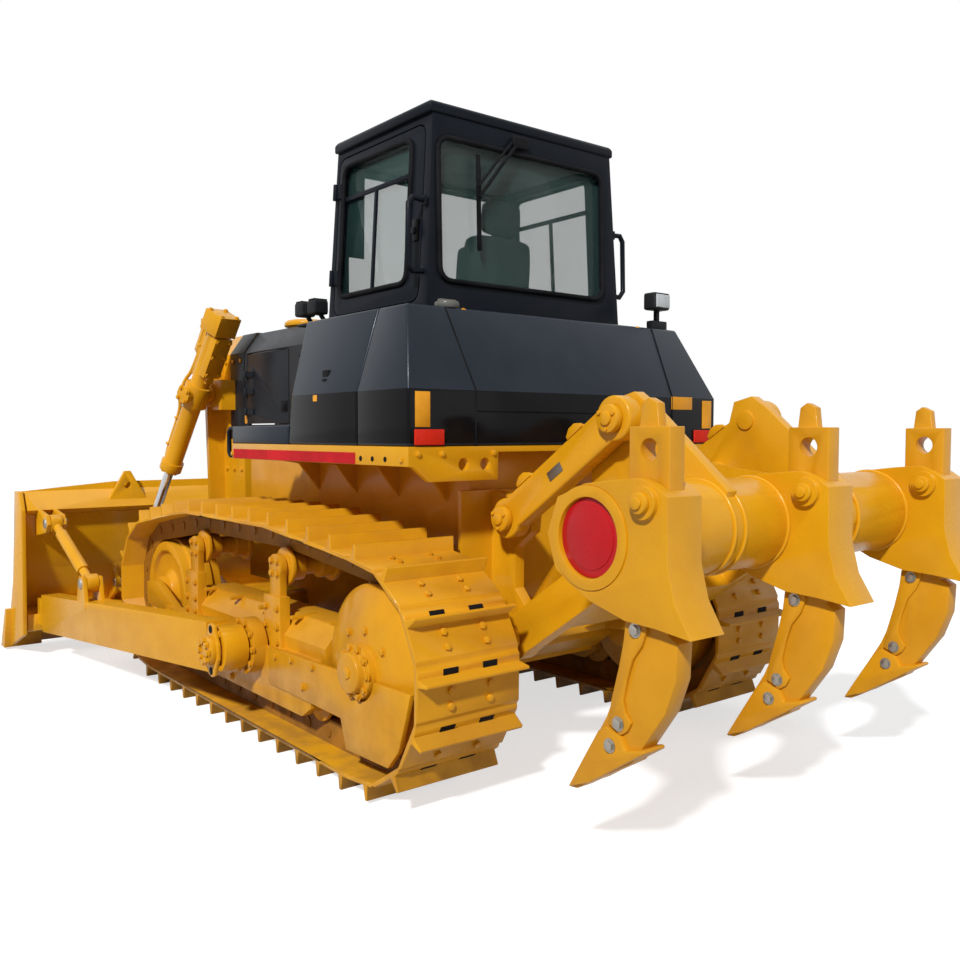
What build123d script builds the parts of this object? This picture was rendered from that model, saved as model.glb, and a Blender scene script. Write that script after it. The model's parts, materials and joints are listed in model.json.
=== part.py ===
from build123d import *
import math
import os

# Crawler bulldozer with a straight-tilt blade and a three-shank parallelogram ripper.
# +X forward, +Y left, +Z up, millimetres.  Everything is drawn from the sprocket axle
# line (x = 0) and the ground (z = 0), then moved along X so that the origin lies
# under the middle of the machine.

# ----------------------------------------------------------------- driving sizes
CLEARANCE = 0.5            # between turned pieces that fit one in the other

# crawler tracks
GAUGE = 2000.0             # between the middles of the two tracks
SHOE_WIDTH = 560.0
SHOE_COUNT = 38
PITCH = 216.0              # pin to pin
SHOE_FACE = 82.0           # pin line to the outer face of a shoe plate
SHOE_PLATE = 16.0
GROUSER = 68.0             # height of the bar on each shoe
GROUSER_AT = 34.0          # from a shoe's leading edge to the bar
GROUSER_BASE = 34.0
GROUSER_TIP = 13.0
RAIL_FACE = 64.0           # pin line to the rail that the rollers run on
RAIL_WIDTH = 54.0
RAIL_SPREAD = 95.0         # middle of the track to the middle of a rail
SPROCKET_R = 434.0         # pin line about the sprocket
IDLER_R = 423.0            # pin line about the idler
CARRIER_RISE = 1108.0      # pin line over the carrier rollers
CARRIER_R = 92.0
CARRIER_X = (935.0, 2050.0)
LINK_SAG = 10.0            # how far a straight link cuts inside the bend over a carrier roller
ROLLER_R = 100.0
ROLLER_X = (560.0, 915.0, 1270.0, 1625.0, 1980.0, 2335.0)

# undercarriage
TOOTH_COUNT = 25
SPROCKET_WIDTH = 68.0
HUB_R = 338.0              # final drive case, inside the rails
DOME_R = 392.0             # its cover, outside them
DOME_FACE_R = 240.0
HUB_CAP_R = 125.0
HUB_FACE = 1232.0          # outer face of the final drive cover, from the centre plane
FRAME_IN = 750.0           # roller frame, inner and outer faces
FRAME_OUT = 1250.0
FRAME_LOW = 440.0
FRAME_TOP = 530.0
TRUNNION_X = 1100.0
TRUNNION_Z = 515.0
TRUNNION_R = 65.0

# body
HULL_REAR = 60.0
HULL_FRONT = 2830.0
HULL_HALF = 470.0
HULL_UPPER = 560.0         # half width of the body under the deck
BELLY_Z = 405.0            # ground clearance
ENGINE_SIDE = 2600.0       # front end of the plates beside the engine
DECK_Z = 1605.0
DECK_HALF = 1093.0
DECK_REAR = -170.0
DECK_FRONT = 1710.0
DECK_DROP = 90.0           # depth of the deck's side plates
REAR_PLATE = 30.0
REAR_PLATE_Z = 1443.0      # lower edge of the plate at the deck's rear corners
TIE_HOLE_Y = (650.0, 780.0)
TIE_HOLE_Z = 1520.0
TIE_HOLE_R = 30.0
STRIP_Z = 1708.0           # top of the dark strip over the side plates
CREASE_Z = 1868.0
BOX_TOP = 2278.0
BOX_TOP_HALF = 964.0
TANK_SEAM_X = 270.0
TANK_TOP_REAR = 24.0
BOX_FRONT = 983.0
CAB_HALF = 700.0
CAB_HALF_TOP = 640.0
CAB_REAR = 240.0
CAB_FRONT = 1230.0
CAB_LEAN = 25.0            # how far the end walls lean in at the top
CAB_SILL = 2300.0
CAB_EAVES = 3286.0
ROOF_THICK = 64.0
ROOF_LIP = 21.0            # how far the roof stands out past the walls
WALL = 50.0
DOOR_REAR = 80.0           # cab door: from the cab's rear and front walls
DOOR_FRONT = 60.0
DOOR_LOW = 45.0            # above the sill, and below the eaves
DOOR_TOP = 46.0
DOOR_GAP = 8.0
WINDOW_EDGE = 50.0         # half width of the roof line less that of the end windows
REAR_WINDOW_SHIFT = 25.0   # how far the rear window sits towards the left
HINGE_OUT = 22.0           # a door's hinge line, out from the panel's face
HINGE_R = 14.0
ENGINE_HINGE_OUT = 16.0    # the same for the engine doors, which close beside the lift cylinders
ENGINE_HINGE_Z = (60.0, 205.0, 330.0)   # foot of each of their knuckles, up from the door's foot
KNUCKLE = 50.0
HOOD_HALF = 500.0
HOOD_TOP = 2400.0
HOOD_FRONT = 2830.0
HOOD_LOW = 1620.0
HOOD_WALL = 30.0
PRECLEANER = (2370.0, 220.0, 165.0)   # x, y and radius
GUARD_FRONT = 3240.0
GUARD_HALF = 500.0
TOWER_OUT = 709.0          # outer side of the guard's towers
TOWER_TOP = 2530.0
GUARD_TOP = 2405.0

# blade
MOULD_HALF = 1795.0        # half width of the curved plate
END_BIT = 67.0             # how far the end bits stand out past it
END_BIT_NOSE = 30.0        # and forward of the cutting edge
BLADE_TOP = 1290.0
BLADE_TOP_END = 1234.0
BLADE_TOP_X = 3900.0
BLADE_TOE_X = 4290.0
BLADE_TOE_Z = 35.0
BLADE_BELLY = 150.0        # how far the plate bows back from its chord
BLADE_SKIN = 28.0
SHOULDER_Y = 1110.0        # where the top edge begins to fall towards each end
LUG_HOLE = (1040.0, 1262.0)   # y, z of the hole in a lifting lug
LUG_HOLE_R = 27.0
ARM_GAP = 12.0             # from a push arm's end to its pad on the blade

# push arms and braces: x, y, z of their ends
ARM_REAR = (1200.0, 1415.0, 513.0)
ARM_FRONT = (3700.0, MOULD_HALF - 150.0, 345.0)
ARM_HIGH = 270.0
ARM_WIDE = 130.0
BRACE_LOW = (2950.0, 1574.0, 650.0)
BRACE_TOP = (3560.0, MOULD_HALF - 155.0, 1017.0)
EAR_GAP = 40.0             # from the middle of a brace to the ears that hold it
EAR = 25.0

# ripper
RIPPER_Y = (966.0, 0.0, -966.0)
LINK_LENGTH = 849.0
LINK_ANGLE = 33.9          # above the horizontal as parked
LINK_TOP = (-190.0, 1255.0)
LINK_LOW = (-250.0, 680.0)
LINK_IN = 455.0
LINK_OUT = 545.0
PLATE_IN = 385.0
PLATE_OUT = 445.0
RAM_Y = 300.0
RAM_FOOT = (-120.0, 720.0)
RAM_EAR = (160.0, -260.0)   # the ram's upper pin, from the upper link's rear pin
RAM_EYE = 50.0             # radius of its eyes, and half their width
RAM_HALF = 40.0
RAM_PIN_R = 30.0
RAM_BORE_AT = 76.0         # foot pin to the bottom of the barrel's bore
RAM_BARREL = 570.0         # foot pin to the barrel's gland
RAM_TAIL = 420.0           # foot pin to the rod's inner end, as parked
RAM_R = 58.0
RAM_ROD_R = 34.0
TUBE_X = -1260.0
TUBE_Z = 1290.0
TUBE_R = 190.0
TUBE_HALF = 1040.0
SHANK_FRONT = -1410.0
SHANK_TOP = 1690.0
SHANK_DEPTH = 180.0
SHANK_HOLE = (-1500.0, 1610.0)   # x, z of the spare hole in the top of a shank
SHANK_HOLE_R = 39.0
SHANK_PIN = (-1529.0, 1432.0)    # x, z of the pin that holds a shank
DISC_R = 148.0             # plain disc in each end of the tube
DISC_DEEP = 22.0
SHANK_WIDTH = 80.0
HOLDER_WIDTH = 180.0


# lift cylinders: x, y, z of the cap's top and of the rod's eye
LIFT_CAP = Vector(2769, 675, 2516)
LIFT_EYE = Vector(3862, 999.5, 501)
LIFT_PIVOT_AT = 650.0      # from the cap's top to the trunnion, and to the gland's end
LIFT_GLAND_AT = 1290.0
LIFT_BORE_AT = 30.0
LIFT_BARREL_R = 68.0
LIFT_GLAND_R = 82.0
LIFT_ROD_R = 34.0
LIFT_TAIL = 352.0          # how far the rod reaches up the barrel, as parked
LIFT_RING = 125.0          # trunnion block, half width
LIFT_PIN_R = 40.0
LIFT_EYE_R = 58.0
LIFT_EYE_HALF = 35.0
LIFT_EARS = 105.0          # from the eye's middle to the ears that hold it

SPROCKET_Z = SHOE_FACE + GROUSER + SPROCKET_R
PIN_Z = SHOE_FACE + GROUSER
IDLER_Z = PIN_Z + IDLER_R
TRACK_Y = GAUGE / 2
BLADE_HALF = MOULD_HALF + END_BIT
ROOF_TOP = CAB_EAVES + ROOF_THICK


# ----------------------------------------------------------------- small helpers
def block(x0, x1, y0, y1, z0, z1):
    """A box between two corners."""
    middle = ((x0 + x1) / 2, (y0 + y1) / 2, (z0 + z1) / 2)
    return Pos(*middle) * Box(abs(x1 - x0), abs(y1 - y0), abs(z1 - z0))


def side_plate(points, y0, y1):
    """A plate whose outline in the X-Z plane is swept from y0 to y1."""
    y0, y1 = sorted((y0, y1))
    outline = Polyline(*[(x, y0, z) for x, z in points], close=True)
    return extrude(make_face(outline), amount=y1 - y0, dir=(0, 1, 0))


def cross_plate(points, x0, x1):
    """A plate whose outline in the Y-Z plane is swept from x0 to x1."""
    x0, x1 = sorted((x0, x1))
    outline = Polyline(*[(x0, y, z) for y, z in points], close=True)
    return extrude(make_face(outline), amount=x1 - x0, dir=(1, 0, 0))


def bar(start, end, radius):
    """A round bar from one point to another."""
    start, end = Vector(*start), Vector(*end)
    plane = Plane(origin=start, z_dir=end - start)
    return plane * Cylinder(radius, (end - start).length, align=(Align.CENTER, Align.CENTER, Align.MIN))


def axle(x, z, y0, y1, radius):
    """A round bar across the machine."""
    return bar((x, min(y0, y1), z), (x, max(y0, y1), z), radius)


def turned(x, z, y, profile):
    """A turned piece about a cross axis; the profile lists (offset from y, radius)."""
    low, high = profile[0][0], profile[-1][0]
    outline = [(0, low)] + [(radius, offset) for offset, radius in profile] + [(0, high)]
    face = make_face(Polyline(*[(r, o, 0) for r, o in outline], close=True))
    solid = revolve(face, Axis.Y, 360)
    return Pos(x, y, z) * solid


def other_side(shape):
    """The same piece on the right of the machine."""
    return mirror(shape, about=Plane.XZ)


def both_sides(shape):
    """A left piece and its mirror image, as one shape."""
    return Compound(children=[*shape.solids(), *other_side(shape).solids()])


# ----------------------------------------------------------------- crawler track
def belt_parts(circles):
    """Arcs and runs of the line drawn tight round circles, listed as they are passed."""
    normals = []
    for (x1, z1, r1), (x2, z2, r2) in zip(circles, circles[1:] + circles[:1]):
        span = math.hypot(x2 - x1, z2 - z1)
        lean = math.asin((r1 - r2) / span)
        normals.append(math.atan2(z2 - z1, x2 - x1) - math.pi / 2 + lean)
    parts = []
    for i, (x, z, r) in enumerate(circles):
        start, end = normals[i - 1], normals[i]
        turn = (end - start) % (2 * math.pi)
        parts.append(("arc", (x, z, r), start, turn * r))
        x2, z2, r2 = circles[(i + 1) % len(circles)]
        run = (x2 - x + (r2 - r) * math.cos(end), z2 - z + (r2 - r) * math.sin(end))
        parts.append(("run", (x + r * math.cos(end), z + r * math.sin(end)), end, math.hypot(*run)))
    return parts


def belt_point(parts, distance):
    """Place on the belt and the angle of its outward normal, at a distance along it."""
    for kind, data, angle, length in parts:
        if distance <= length:
            break
        distance -= length
    if kind == "arc":
        x, z, r = data
        angle += distance / r
        return x + r * math.cos(angle), z + r * math.sin(angle), angle
    x, z = data
    return x - distance * math.sin(angle), z + distance * math.cos(angle), angle


def track_circles(idler_x):
    """The circles that the pin line runs round: sprocket, idler and carrier rollers."""
    rise = CARRIER_R + RAIL_FACE
    carriers = [(x, CARRIER_RISE - rise, rise) for x in reversed(CARRIER_X)]
    return [(0.0, SPROCKET_Z, SPROCKET_R), (idler_x, IDLER_Z, IDLER_R)] + carriers


def tight_idler_x():
    """Where the idler stands when the track is tight."""
    x = SHOE_COUNT * PITCH / 2 - math.pi * SPROCKET_R / 2
    for _ in range(12):
        length = sum(part[3] for part in belt_parts(track_circles(x)))
        x += (SHOE_COUNT * PITCH - length) / 2
    return x


IDLER_X = tight_idler_x()
CHORD = math.cos(PITCH / 2 / SPROCKET_R)       # a link's middle, nearer the axle than its pins
SPROCKET_REACH = SPROCKET_R * CHORD - RAIL_FACE
IDLER_TREAD = IDLER_R * math.cos(PITCH / 2 / IDLER_R) - RAIL_FACE - 2
CARRIER_Z = CARRIER_RISE - CARRIER_R - RAIL_FACE
ROLLER_Z = PIN_Z + RAIL_FACE + ROLLER_R


def track():
    """The left track: shoes in the outline of one loop, with the two rails inside it."""
    parts = belt_parts(track_circles(IDLER_X))
    pins = [belt_point(parts, (i + 0.5) * PITCH) for i in range(SHOE_COUNT)]
    inside = SHOE_FACE - SHOE_PLATE - 6
    shoe = (
        # along the link, out from the pin line
        (4, SHOE_FACE),
        (GROUSER_AT, SHOE_FACE),
        (GROUSER_AT + (GROUSER_BASE - GROUSER_TIP) / 2, SHOE_FACE + GROUSER),
        (GROUSER_AT + (GROUSER_BASE + GROUSER_TIP) / 2, SHOE_FACE + GROUSER),
        (GROUSER_AT + GROUSER_BASE, SHOE_FACE),
        (PITCH - 4, SHOE_FACE),
    )
    outer, band, rail = [], [], []
    for i, (x, z, angle) in enumerate(pins):
        x2, z2, _ = pins[(i + 1) % SHOE_COUNT]
        length = math.hypot(x2 - x, z2 - z)
        tx, tz = (x2 - x) / length, (z2 - z) / length
        nx, nz = math.cos(angle), math.sin(angle)
        outer.append((x + nx * (inside + 10), z + nz * (inside + 10)))
        for along, out in shoe:
            outer.append((x + tx * along + tz * out, z + tz * along - tx * out))
        band.append((x + nx * inside, z + nz * inside))
        rail.append((x - nx * RAIL_FACE, z - nz * RAIL_FACE))

    def ring(outside, hollow, y, width):
        solid = side_plate(outside, y - width / 2, y + width / 2)
        return solid - side_plate(hollow, y - width / 2 - 1, y + width / 2 + 1)

    loop = ring(outer, band, TRACK_Y, SHOE_WIDTH)
    for side in (-1, 1):
        loop += ring(band, rail, TRACK_Y + side * RAIL_SPREAD, RAIL_WIDTH)
    return loop


def sprocket():
    """The left sprocket's toothed ring, solid to its axis."""
    step = 2 * math.pi / TOOTH_COUNT
    root, tip = SPROCKET_R - 40, SPROCKET_R + 10
    outline = []
    for i in range(TOOTH_COUNT):
        # share of a tooth's pitch, radius
        for share, radius in ((0.0, root), (0.3, root), (0.5, tip), (0.8, tip)):
            angle = (i + share) * step
            outline.append((radius * math.cos(angle), SPROCKET_Z + radius * math.sin(angle)))
    return side_plate(outline, TRACK_Y - SPROCKET_WIDTH / 2, TRACK_Y + SPROCKET_WIDTH / 2)


def final_drive():
    """The left final drive with its sprocket, from the hull to its outer cover."""
    profile = (
        # from the track's middle, radius
        (HULL_HALF + 2 - TRACK_Y, 130),
        (575 - TRACK_Y, 130),
        (577 - TRACK_Y, 300),
        (-300, 300),
        (-230, 345),
        (-120, 345),
        (-110, HUB_R - 40),
        (60, HUB_R - 40),
        (70, HUB_R),
        (130, HUB_R),
        (134, DOME_R - 8),
        (165, DOME_R),
        (200, DOME_R - 50),
        (HUB_FACE - TRACK_Y, DOME_FACE_R),
        (HUB_FACE - TRACK_Y + 2, HUB_CAP_R),
        (HUB_FACE - TRACK_Y + 45, HUB_CAP_R),
        (HUB_FACE - TRACK_Y + 47, HUB_CAP_R - 28),
        (HUB_FACE - TRACK_Y + 85, HUB_CAP_R - 34),
    )
    return turned(0, SPROCKET_Z, TRACK_Y, profile) + sprocket()


def idler():
    """The left idler, with a middle flange between the rails."""
    flange = IDLER_TREAD + 21
    profile = (
        (-175, 70), (-130, 70), (-128, IDLER_TREAD), (-64, IDLER_TREAD),
        (-62, flange), (62, flange), (64, IDLER_TREAD), (128, IDLER_TREAD),
        (130, IDLER_TREAD - 60), (100, IDLER_TREAD - 75), (90, 150), (130, 110), (175, 110),
    )
    return turned(IDLER_X, IDLER_Z, TRACK_Y, profile)


def roller(x, z, radius, reach, flange):
    """One roller with a flange outside each rail."""
    tread = radius - 2
    edge = RAIL_SPREAD + RAIL_WIDTH / 2 + 4
    profile = (
        (-reach, 62), (-edge - 24, 62), (-edge - 22, flange), (-edge, flange),
        (-edge + 1, tread), (-50, tread), (-48, tread - 26), (48, tread - 26), (50, tread),
        (edge - 1, tread), (edge, flange), (edge + 22, flange), (edge + 24, 62), (reach, 62),
    )
    return turned(x, z, TRACK_Y, profile)


def rollers():
    """Six track rollers under the left frame and two carrier rollers over it."""
    low = [roller(x, ROLLER_Z, ROLLER_R, 176, 116) for x in ROLLER_X]
    high = [roller(x, CARRIER_Z, CARRIER_R - LINK_SAG, 158, 104) for x in CARRIER_X]
    return Compound(children=low + high)


# ----------------------------------------------------------------- roller frame
def track_frame():
    """The left roller frame, with guards, idler yoke, roller posts and blade trunnion."""
    rear = SPROCKET_R + 30
    front = IDLER_X - IDLER_TREAD - 90
    nose = front + 130
    frame = block(rear, front, FRAME_IN + 20, FRAME_OUT - 40, FRAME_LOW, FRAME_TOP)
    for y in (FRAME_IN, FRAME_OUT - 50):
        frame += side_plate(
            [(rear, 300), (560, 240), (nose - 60, 240), (nose, 300), (nose, FRAME_TOP), (rear, FRAME_TOP)],
            y, y + 50)
    # spring housing under a rounded hood
    hood = [(TRACK_Y - 150, FRAME_TOP), (TRACK_Y + 190, FRAME_TOP), (TRACK_Y + 200, 600), (TRACK_Y + 120, 700),
            (TRACK_Y - 60, 700), (TRACK_Y - 150, 620)]
    frame += cross_plate(hood, rear, 2080)
    shoulder = [(TRACK_Y + 70, FRAME_TOP - 40), (TRACK_Y + 190, FRAME_TOP - 40), (TRACK_Y + 200, 600),
                (TRACK_Y + 120, 700), (TRACK_Y + 70, 700)]
    frame += cross_plate(shoulder, DOME_R + 15, rear)
    # skirt outside the final drive cover, notched for its cap
    skirt = [(900, 340), (900, FRAME_TOP), (rear, FRAME_TOP + 15), (-425, 565), (-390, 453), (-335, 300), (-250, 205),
             (105, 195), (155, 331), (490, 337)]
    cover = side_plate(skirt, FRAME_OUT - 12, FRAME_OUT + 12)
    frame += cover - axle(0, SPROCKET_Z, FRAME_OUT - 20, FRAME_OUT + 20, HUB_CAP_R + 14)
    # idler yoke
    for y in (TRACK_Y - 230, TRACK_Y + 185):
        frame += side_plate([(front, FRAME_LOW + 20), (IDLER_X + 90, IDLER_Z - 80), (IDLER_X + 90, IDLER_Z + 70),
                             (IDLER_X - 100, IDLER_Z + 90), (front, FRAME_TOP)], y, y + 45)
    # posts of the carrier rollers
    for x in CARRIER_X:
        frame += block(x - 95, x + 95, TRACK_Y + 165, TRACK_Y + 225, FRAME_TOP - 20, 800)
        frame += block(x - 60, x + 60, TRACK_Y + 165, TRACK_Y + 205, 800, CARRIER_Z)
        frame += axle(x, CARRIER_Z, TRACK_Y + 165, TRACK_Y + 205, 70)
    # trunnion that the push arm swings on
    frame += axle(TRUNNION_X, TRUNNION_Z, FRAME_OUT - 10, FRAME_OUT + 70, 150)
    frame += axle(TRUNNION_X, TRUNNION_Z, FRAME_OUT + 60, FRAME_OUT + 230, TRUNNION_R)
    return frame


# ----------------------------------------------------------------- hull
def hull():
    """Steering case, main frame and deck supports, between the tracks."""
    case = side_plate([(HULL_REAR, 520), (HULL_REAR + 120, BELLY_Z + 25), (1900, BELLY_Z + 25), (1960, 620),
                       (HULL_FRONT, 620), (HULL_FRONT, 1060), (1750, 1100), (HULL_REAR, 1400)],
                      -HULL_HALF, HULL_HALF)
    upper = block(HULL_REAR, DECK_FRONT - 32, -HULL_UPPER, HULL_UPPER, 1090, DECK_Z - 30)
    belly = block(HULL_REAR + 130, 1900, 30 - HULL_HALF, HULL_HALF - 30, BELLY_Z, BELLY_Z + 40)
    hull_ = case + upper + belly
    for side in (-1, 1):
        hull_ += block(DECK_FRONT - 40, ENGINE_SIDE, side * (HULL_UPPER - 40), side * HULL_UPPER, 1040, DECK_Z - 30)
        hull_ += block(ENGINE_SIDE - 30, ENGINE_SIDE, side * (HULL_HALF - 40), side * HULL_UPPER, 1040, DECK_Z - 30)
    # ribs that carry the deck, along each side and across the back
    for side in (-1, 1):
        for x in (250, 700, 1150, 1600):
            hull_ += cross_plate([(side * (HULL_UPPER - 10), 1300), (side * 700, 1480), (side * (DECK_HALF - 60), 1530),
                                  (side * (DECK_HALF - 60), DECK_Z - 28), (side * (HULL_UPPER - 10), DECK_Z - 28)], x, x + 24)
    return hull_


def equalizer_bar():
    """Bar under the engine that ties the two roller frames."""
    x, half = 2120, FRAME_IN - 2
    outline = [(-half, 470), (-half + 200, 460), (0, 440), (half - 200, 460), (half, 470), (half, 560),
               (half - 200, 585), (0, 610), (-half + 200, 585), (-half, 560)]
    return cross_plate(outline, x - 70, x + 70)


def engine():
    return block(1760, 2700, -330, 330, 1110, 2150)


# ----------------------------------------------------------------- deck and boxes
def platform():
    """Deck plate with its side and rear plates."""
    low = DECK_Z - DECK_DROP
    deck = block(DECK_REAR, DECK_FRONT, -DECK_HALF, DECK_HALF, DECK_Z - 28, DECK_Z)
    for side in (-1, 1):
        deck += block(DECK_REAR, DECK_FRONT, side * (DECK_HALF - 30), side * DECK_HALF, low, DECK_Z)
        deck += block(DECK_FRONT - 30, DECK_FRONT, side * 570, side * DECK_HALF, low, DECK_Z)
        rear = cross_plate([(side * 570, REAR_PLATE_Z), (side * 980, REAR_PLATE_Z), (side * DECK_HALF, low + 20),
                            (side * DECK_HALF, DECK_Z), (side * 570, DECK_Z)], DECK_REAR, DECK_REAR + REAR_PLATE)
        for y in TIE_HOLE_Y:
            rear -= bar((DECK_REAR - 10, side * y, TIE_HOLE_Z), (DECK_REAR + 40, side * y, TIE_HOLE_Z), TIE_HOLE_R)
        deck += rear
    return deck


def fuel_tank():
    """Rear tank: upright below the crease, leaning in above it."""
    z0 = DECK_Z
    low = block(DECK_REAR, TANK_SEAM_X, -DECK_HALF, DECK_HALF, z0, CREASE_Z)
    base = Plane.XY.offset(CREASE_Z) * Pos((DECK_REAR + TANK_SEAM_X) / 2, 0) * Rectangle(
        TANK_SEAM_X - DECK_REAR, 2 * DECK_HALF)
    top = Plane.XY.offset(BOX_TOP) * Pos((TANK_TOP_REAR + TANK_SEAM_X) / 2, 0) * Rectangle(
        TANK_SEAM_X - TANK_TOP_REAR, 2 * BOX_TOP_HALF)
    return low + loft([base, top])


def side_box():
    """Left box beside the cab: upright below the crease, leaning in above it, its front edge sloping."""
    inner = CAB_HALF - 20
    section = [(inner, DECK_Z), (DECK_HALF, DECK_Z), (DECK_HALF, CREASE_Z), (BOX_TOP_HALF, BOX_TOP), (inner, BOX_TOP)]
    outline = [(TANK_SEAM_X + 4, DECK_Z), (BOX_FRONT, DECK_Z), (BOX_FRONT - 40, CREASE_Z), (BOX_FRONT + 20, BOX_TOP),
               (TANK_SEAM_X + 4, BOX_TOP)]
    return cross_plate(section, TANK_SEAM_X, BOX_FRONT + 40) & side_plate(outline, inner - 1, DECK_HALF + 1)


def deck_strip():
    """Dark strip along each side of the deck, in front of the boxes."""
    pieces = []
    for side in (-1, 1):
        pieces.append(block(BOX_FRONT + 4, DECK_FRONT, side * (DECK_HALF - 200), side * DECK_HALF, DECK_Z, STRIP_Z))
    return Compound(children=pieces)


# ----------------------------------------------------------------- cab
def cab_outer(inset):
    """The cab's upper body, leaning in towards the roof, drawn in by an inset."""
    base = Plane.XY.offset(CAB_SILL) * Pos((CAB_REAR + CAB_FRONT) / 2, 0) * Rectangle(
        CAB_FRONT - CAB_REAR - 2 * inset, 2 * (CAB_HALF - inset))
    top = Plane.XY.offset(CAB_EAVES) * Pos((CAB_REAR + CAB_FRONT) / 2, 0) * Rectangle(
        CAB_FRONT - CAB_REAR - 2 * CAB_LEAN - 2 * inset, 2 * (CAB_HALF_TOP - inset))
    return loft([base, top])


DOOR_X = (CAB_REAR + DOOR_REAR, CAB_FRONT - DOOR_FRONT)
DOOR_Z = (CAB_SILL + DOOR_LOW, CAB_EAVES - DOOR_TOP)
DOOR_RIM = (110.0, 55.0, 100.0, 52.0)   # round a door's pane: behind, in front, below, above
PANE = 3.0                 # half a pane's thickness
WALL_LEAN = (CAB_HALF - CAB_HALF_TOP) / (CAB_EAVES - CAB_SILL)
END_WINDOW_HALF = CAB_HALF_TOP - WINDOW_EDGE
REAR_WINDOW_Z = (CAB_SILL + 145, CAB_EAVES - 115)
FRONT_WINDOW_Z = (CAB_SILL + 60, CAB_EAVES - 90)


def cab_wall_y(z):
    """Outer face of the left wall at a height."""
    return CAB_HALF - (z - CAB_SILL) * WALL_LEAN


def cab_hinge(z):
    """Point of the left door's hinge line at a height."""
    return (DOOR_X[1] + DOOR_GAP, cab_wall_y(z) + HINGE_OUT, z)


def side_prism(x0, x1, z0, z1, radius, grow=0.0):
    """A rounded window prism through the left wall."""
    width, height = x1 - x0 + 2 * grow, z1 - z0 + 2 * grow
    plane = Plane(origin=((x0 + x1) / 2, CAB_HALF_TOP - 150, (z0 + z1) / 2), x_dir=(-1, 0, 0), z_dir=(0, 1, 0))
    return extrude(plane * RectangleRounded(width, height, radius), amount=400)


def end_prism(x, y_half, z0, z1, radius):
    """A rounded window prism through an end wall."""
    plane = Plane(origin=(x - 150, 0, (z0 + z1) / 2), x_dir=(0, 1, 0), z_dir=(1, 0, 0))
    return extrude(plane * RectangleRounded(2 * y_half, z1 - z0, radius), amount=300)


def cab_wall():
    return cab_outer(0) - cab_outer(WALL)


def door_pane():
    """The prism of a door's window."""
    rear, front, low, top = DOOR_RIM
    return side_prism(DOOR_X[0] + rear, DOOR_X[1] - front, DOOR_Z[0] + low, DOOR_Z[1] - top, 60)


def knuckle(low, high, reach, out):
    """A hinge knuckle round a hinge line, with the leaf that ties it to the panel behind."""
    middle = (Vector(*low) + Vector(*high)) * 0.5
    half = abs(high[2] - low[2]) / 2 - 5
    leaf = block(middle.X - reach, middle.X, middle.Y - out - 6, middle.Y - 4, middle.Z - half, middle.Z + half)
    return bar(low, high, HINGE_R) + leaf


def cab_door():
    """The left door, as thick as the wall, with its window cut out and two hinge knuckles."""
    door = (cab_wall() & side_prism(*DOOR_X, *DOOR_Z, 60)) - door_pane()
    for z in (DOOR_Z[0] + 170, DOOR_Z[1] - 230):
        door += knuckle(cab_hinge(z), cab_hinge(z + 90), 60, HINGE_OUT)
    return door


def door_glass():
    return (cab_outer(WALL / 2 - PANE) - cab_outer(WALL / 2 + PANE)) & door_pane()


def cab_frame():
    """Walls and floor of the cab, open at the two doors and windows."""
    frame = cab_wall()
    opening = side_prism(*DOOR_X, *DOOR_Z, 60 + DOOR_GAP, DOOR_GAP)
    frame -= opening
    frame -= other_side(opening)
    frame -= rear_opening()
    frame -= end_prism(CAB_FRONT, END_WINDOW_HALF, *FRONT_WINDOW_Z, 70)
    rear, half = TANK_SEAM_X + 20, CAB_HALF - 40
    base = block(rear, CAB_FRONT, -half, half, DECK_Z, CAB_SILL)
    rim = block(CAB_REAR, CAB_FRONT, -CAB_HALF, CAB_HALF, CAB_SILL - 18, CAB_SILL)
    room = block(rear + WALL, CAB_FRONT - WALL, WALL - half, half - WALL, DECK_Z + WALL, CAB_SILL + 1)
    return frame + (base + rim - room)


def rear_opening():
    """The rear window's prism, which sits a little towards the left."""
    return Pos(0, REAR_WINDOW_SHIFT, 0) * end_prism(CAB_REAR, END_WINDOW_HALF, *REAR_WINDOW_Z, 70)


def cab_glass():
    """Front and rear panes."""
    pane = cab_outer(WALL / 2 - PANE) - cab_outer(WALL / 2 + PANE)
    return Compound(children=[
        pane & rear_opening(),
        pane & end_prism(CAB_FRONT, END_WINDOW_HALF, *FRONT_WINDOW_Z, 70),
    ])


def cab_roof():
    """Roof plate with a chamfered rim."""
    half = CAB_HALF_TOP + ROOF_LIP
    end = CAB_LEAN - ROOF_LIP + 13
    roof = block(CAB_REAR + end, CAB_FRONT - end, -half, half, CAB_EAVES, ROOF_TOP)
    return chamfer(roof.edges().group_by(Axis.Z)[-1], 18)


def cab_seat():
    x, z = 560, 2150
    seat = block(x - 60, x + 420, -250, 250, z, z + 130)
    seat += block(x + 60, x + 300, -150, 150, DECK_Z + WALL, z)
    back = side_plate([(x - 60, z + 60), (x + 60, z + 60), (x - 10, z + 640), (x - 110, z + 640)], -240, 240)
    back += side_plate([(x - 110, z + 640), (x - 20, z + 640), (x - 35, z + 830), (x - 115, z + 830)], -140, 140)
    return seat + back


def cab_console():
    """Dash in front of the seat and a console on each side."""
    dash = block(CAB_FRONT - 240, CAB_FRONT - WALL - 5, -420, 420, DECK_Z + WALL, 2420)
    pieces = [dash]
    for side in (-1, 1):
        pieces.append(block(520, 900, side * 290, side * 470, DECK_Z + WALL, 2330))
    return Compound(children=pieces)


# ----------------------------------------------------------------- hood and guard
ENGINE_DOOR_X = (2130.0, 2765.0)
ENGINE_DOOR_Z = (1735.0, 2235.0)


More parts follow.
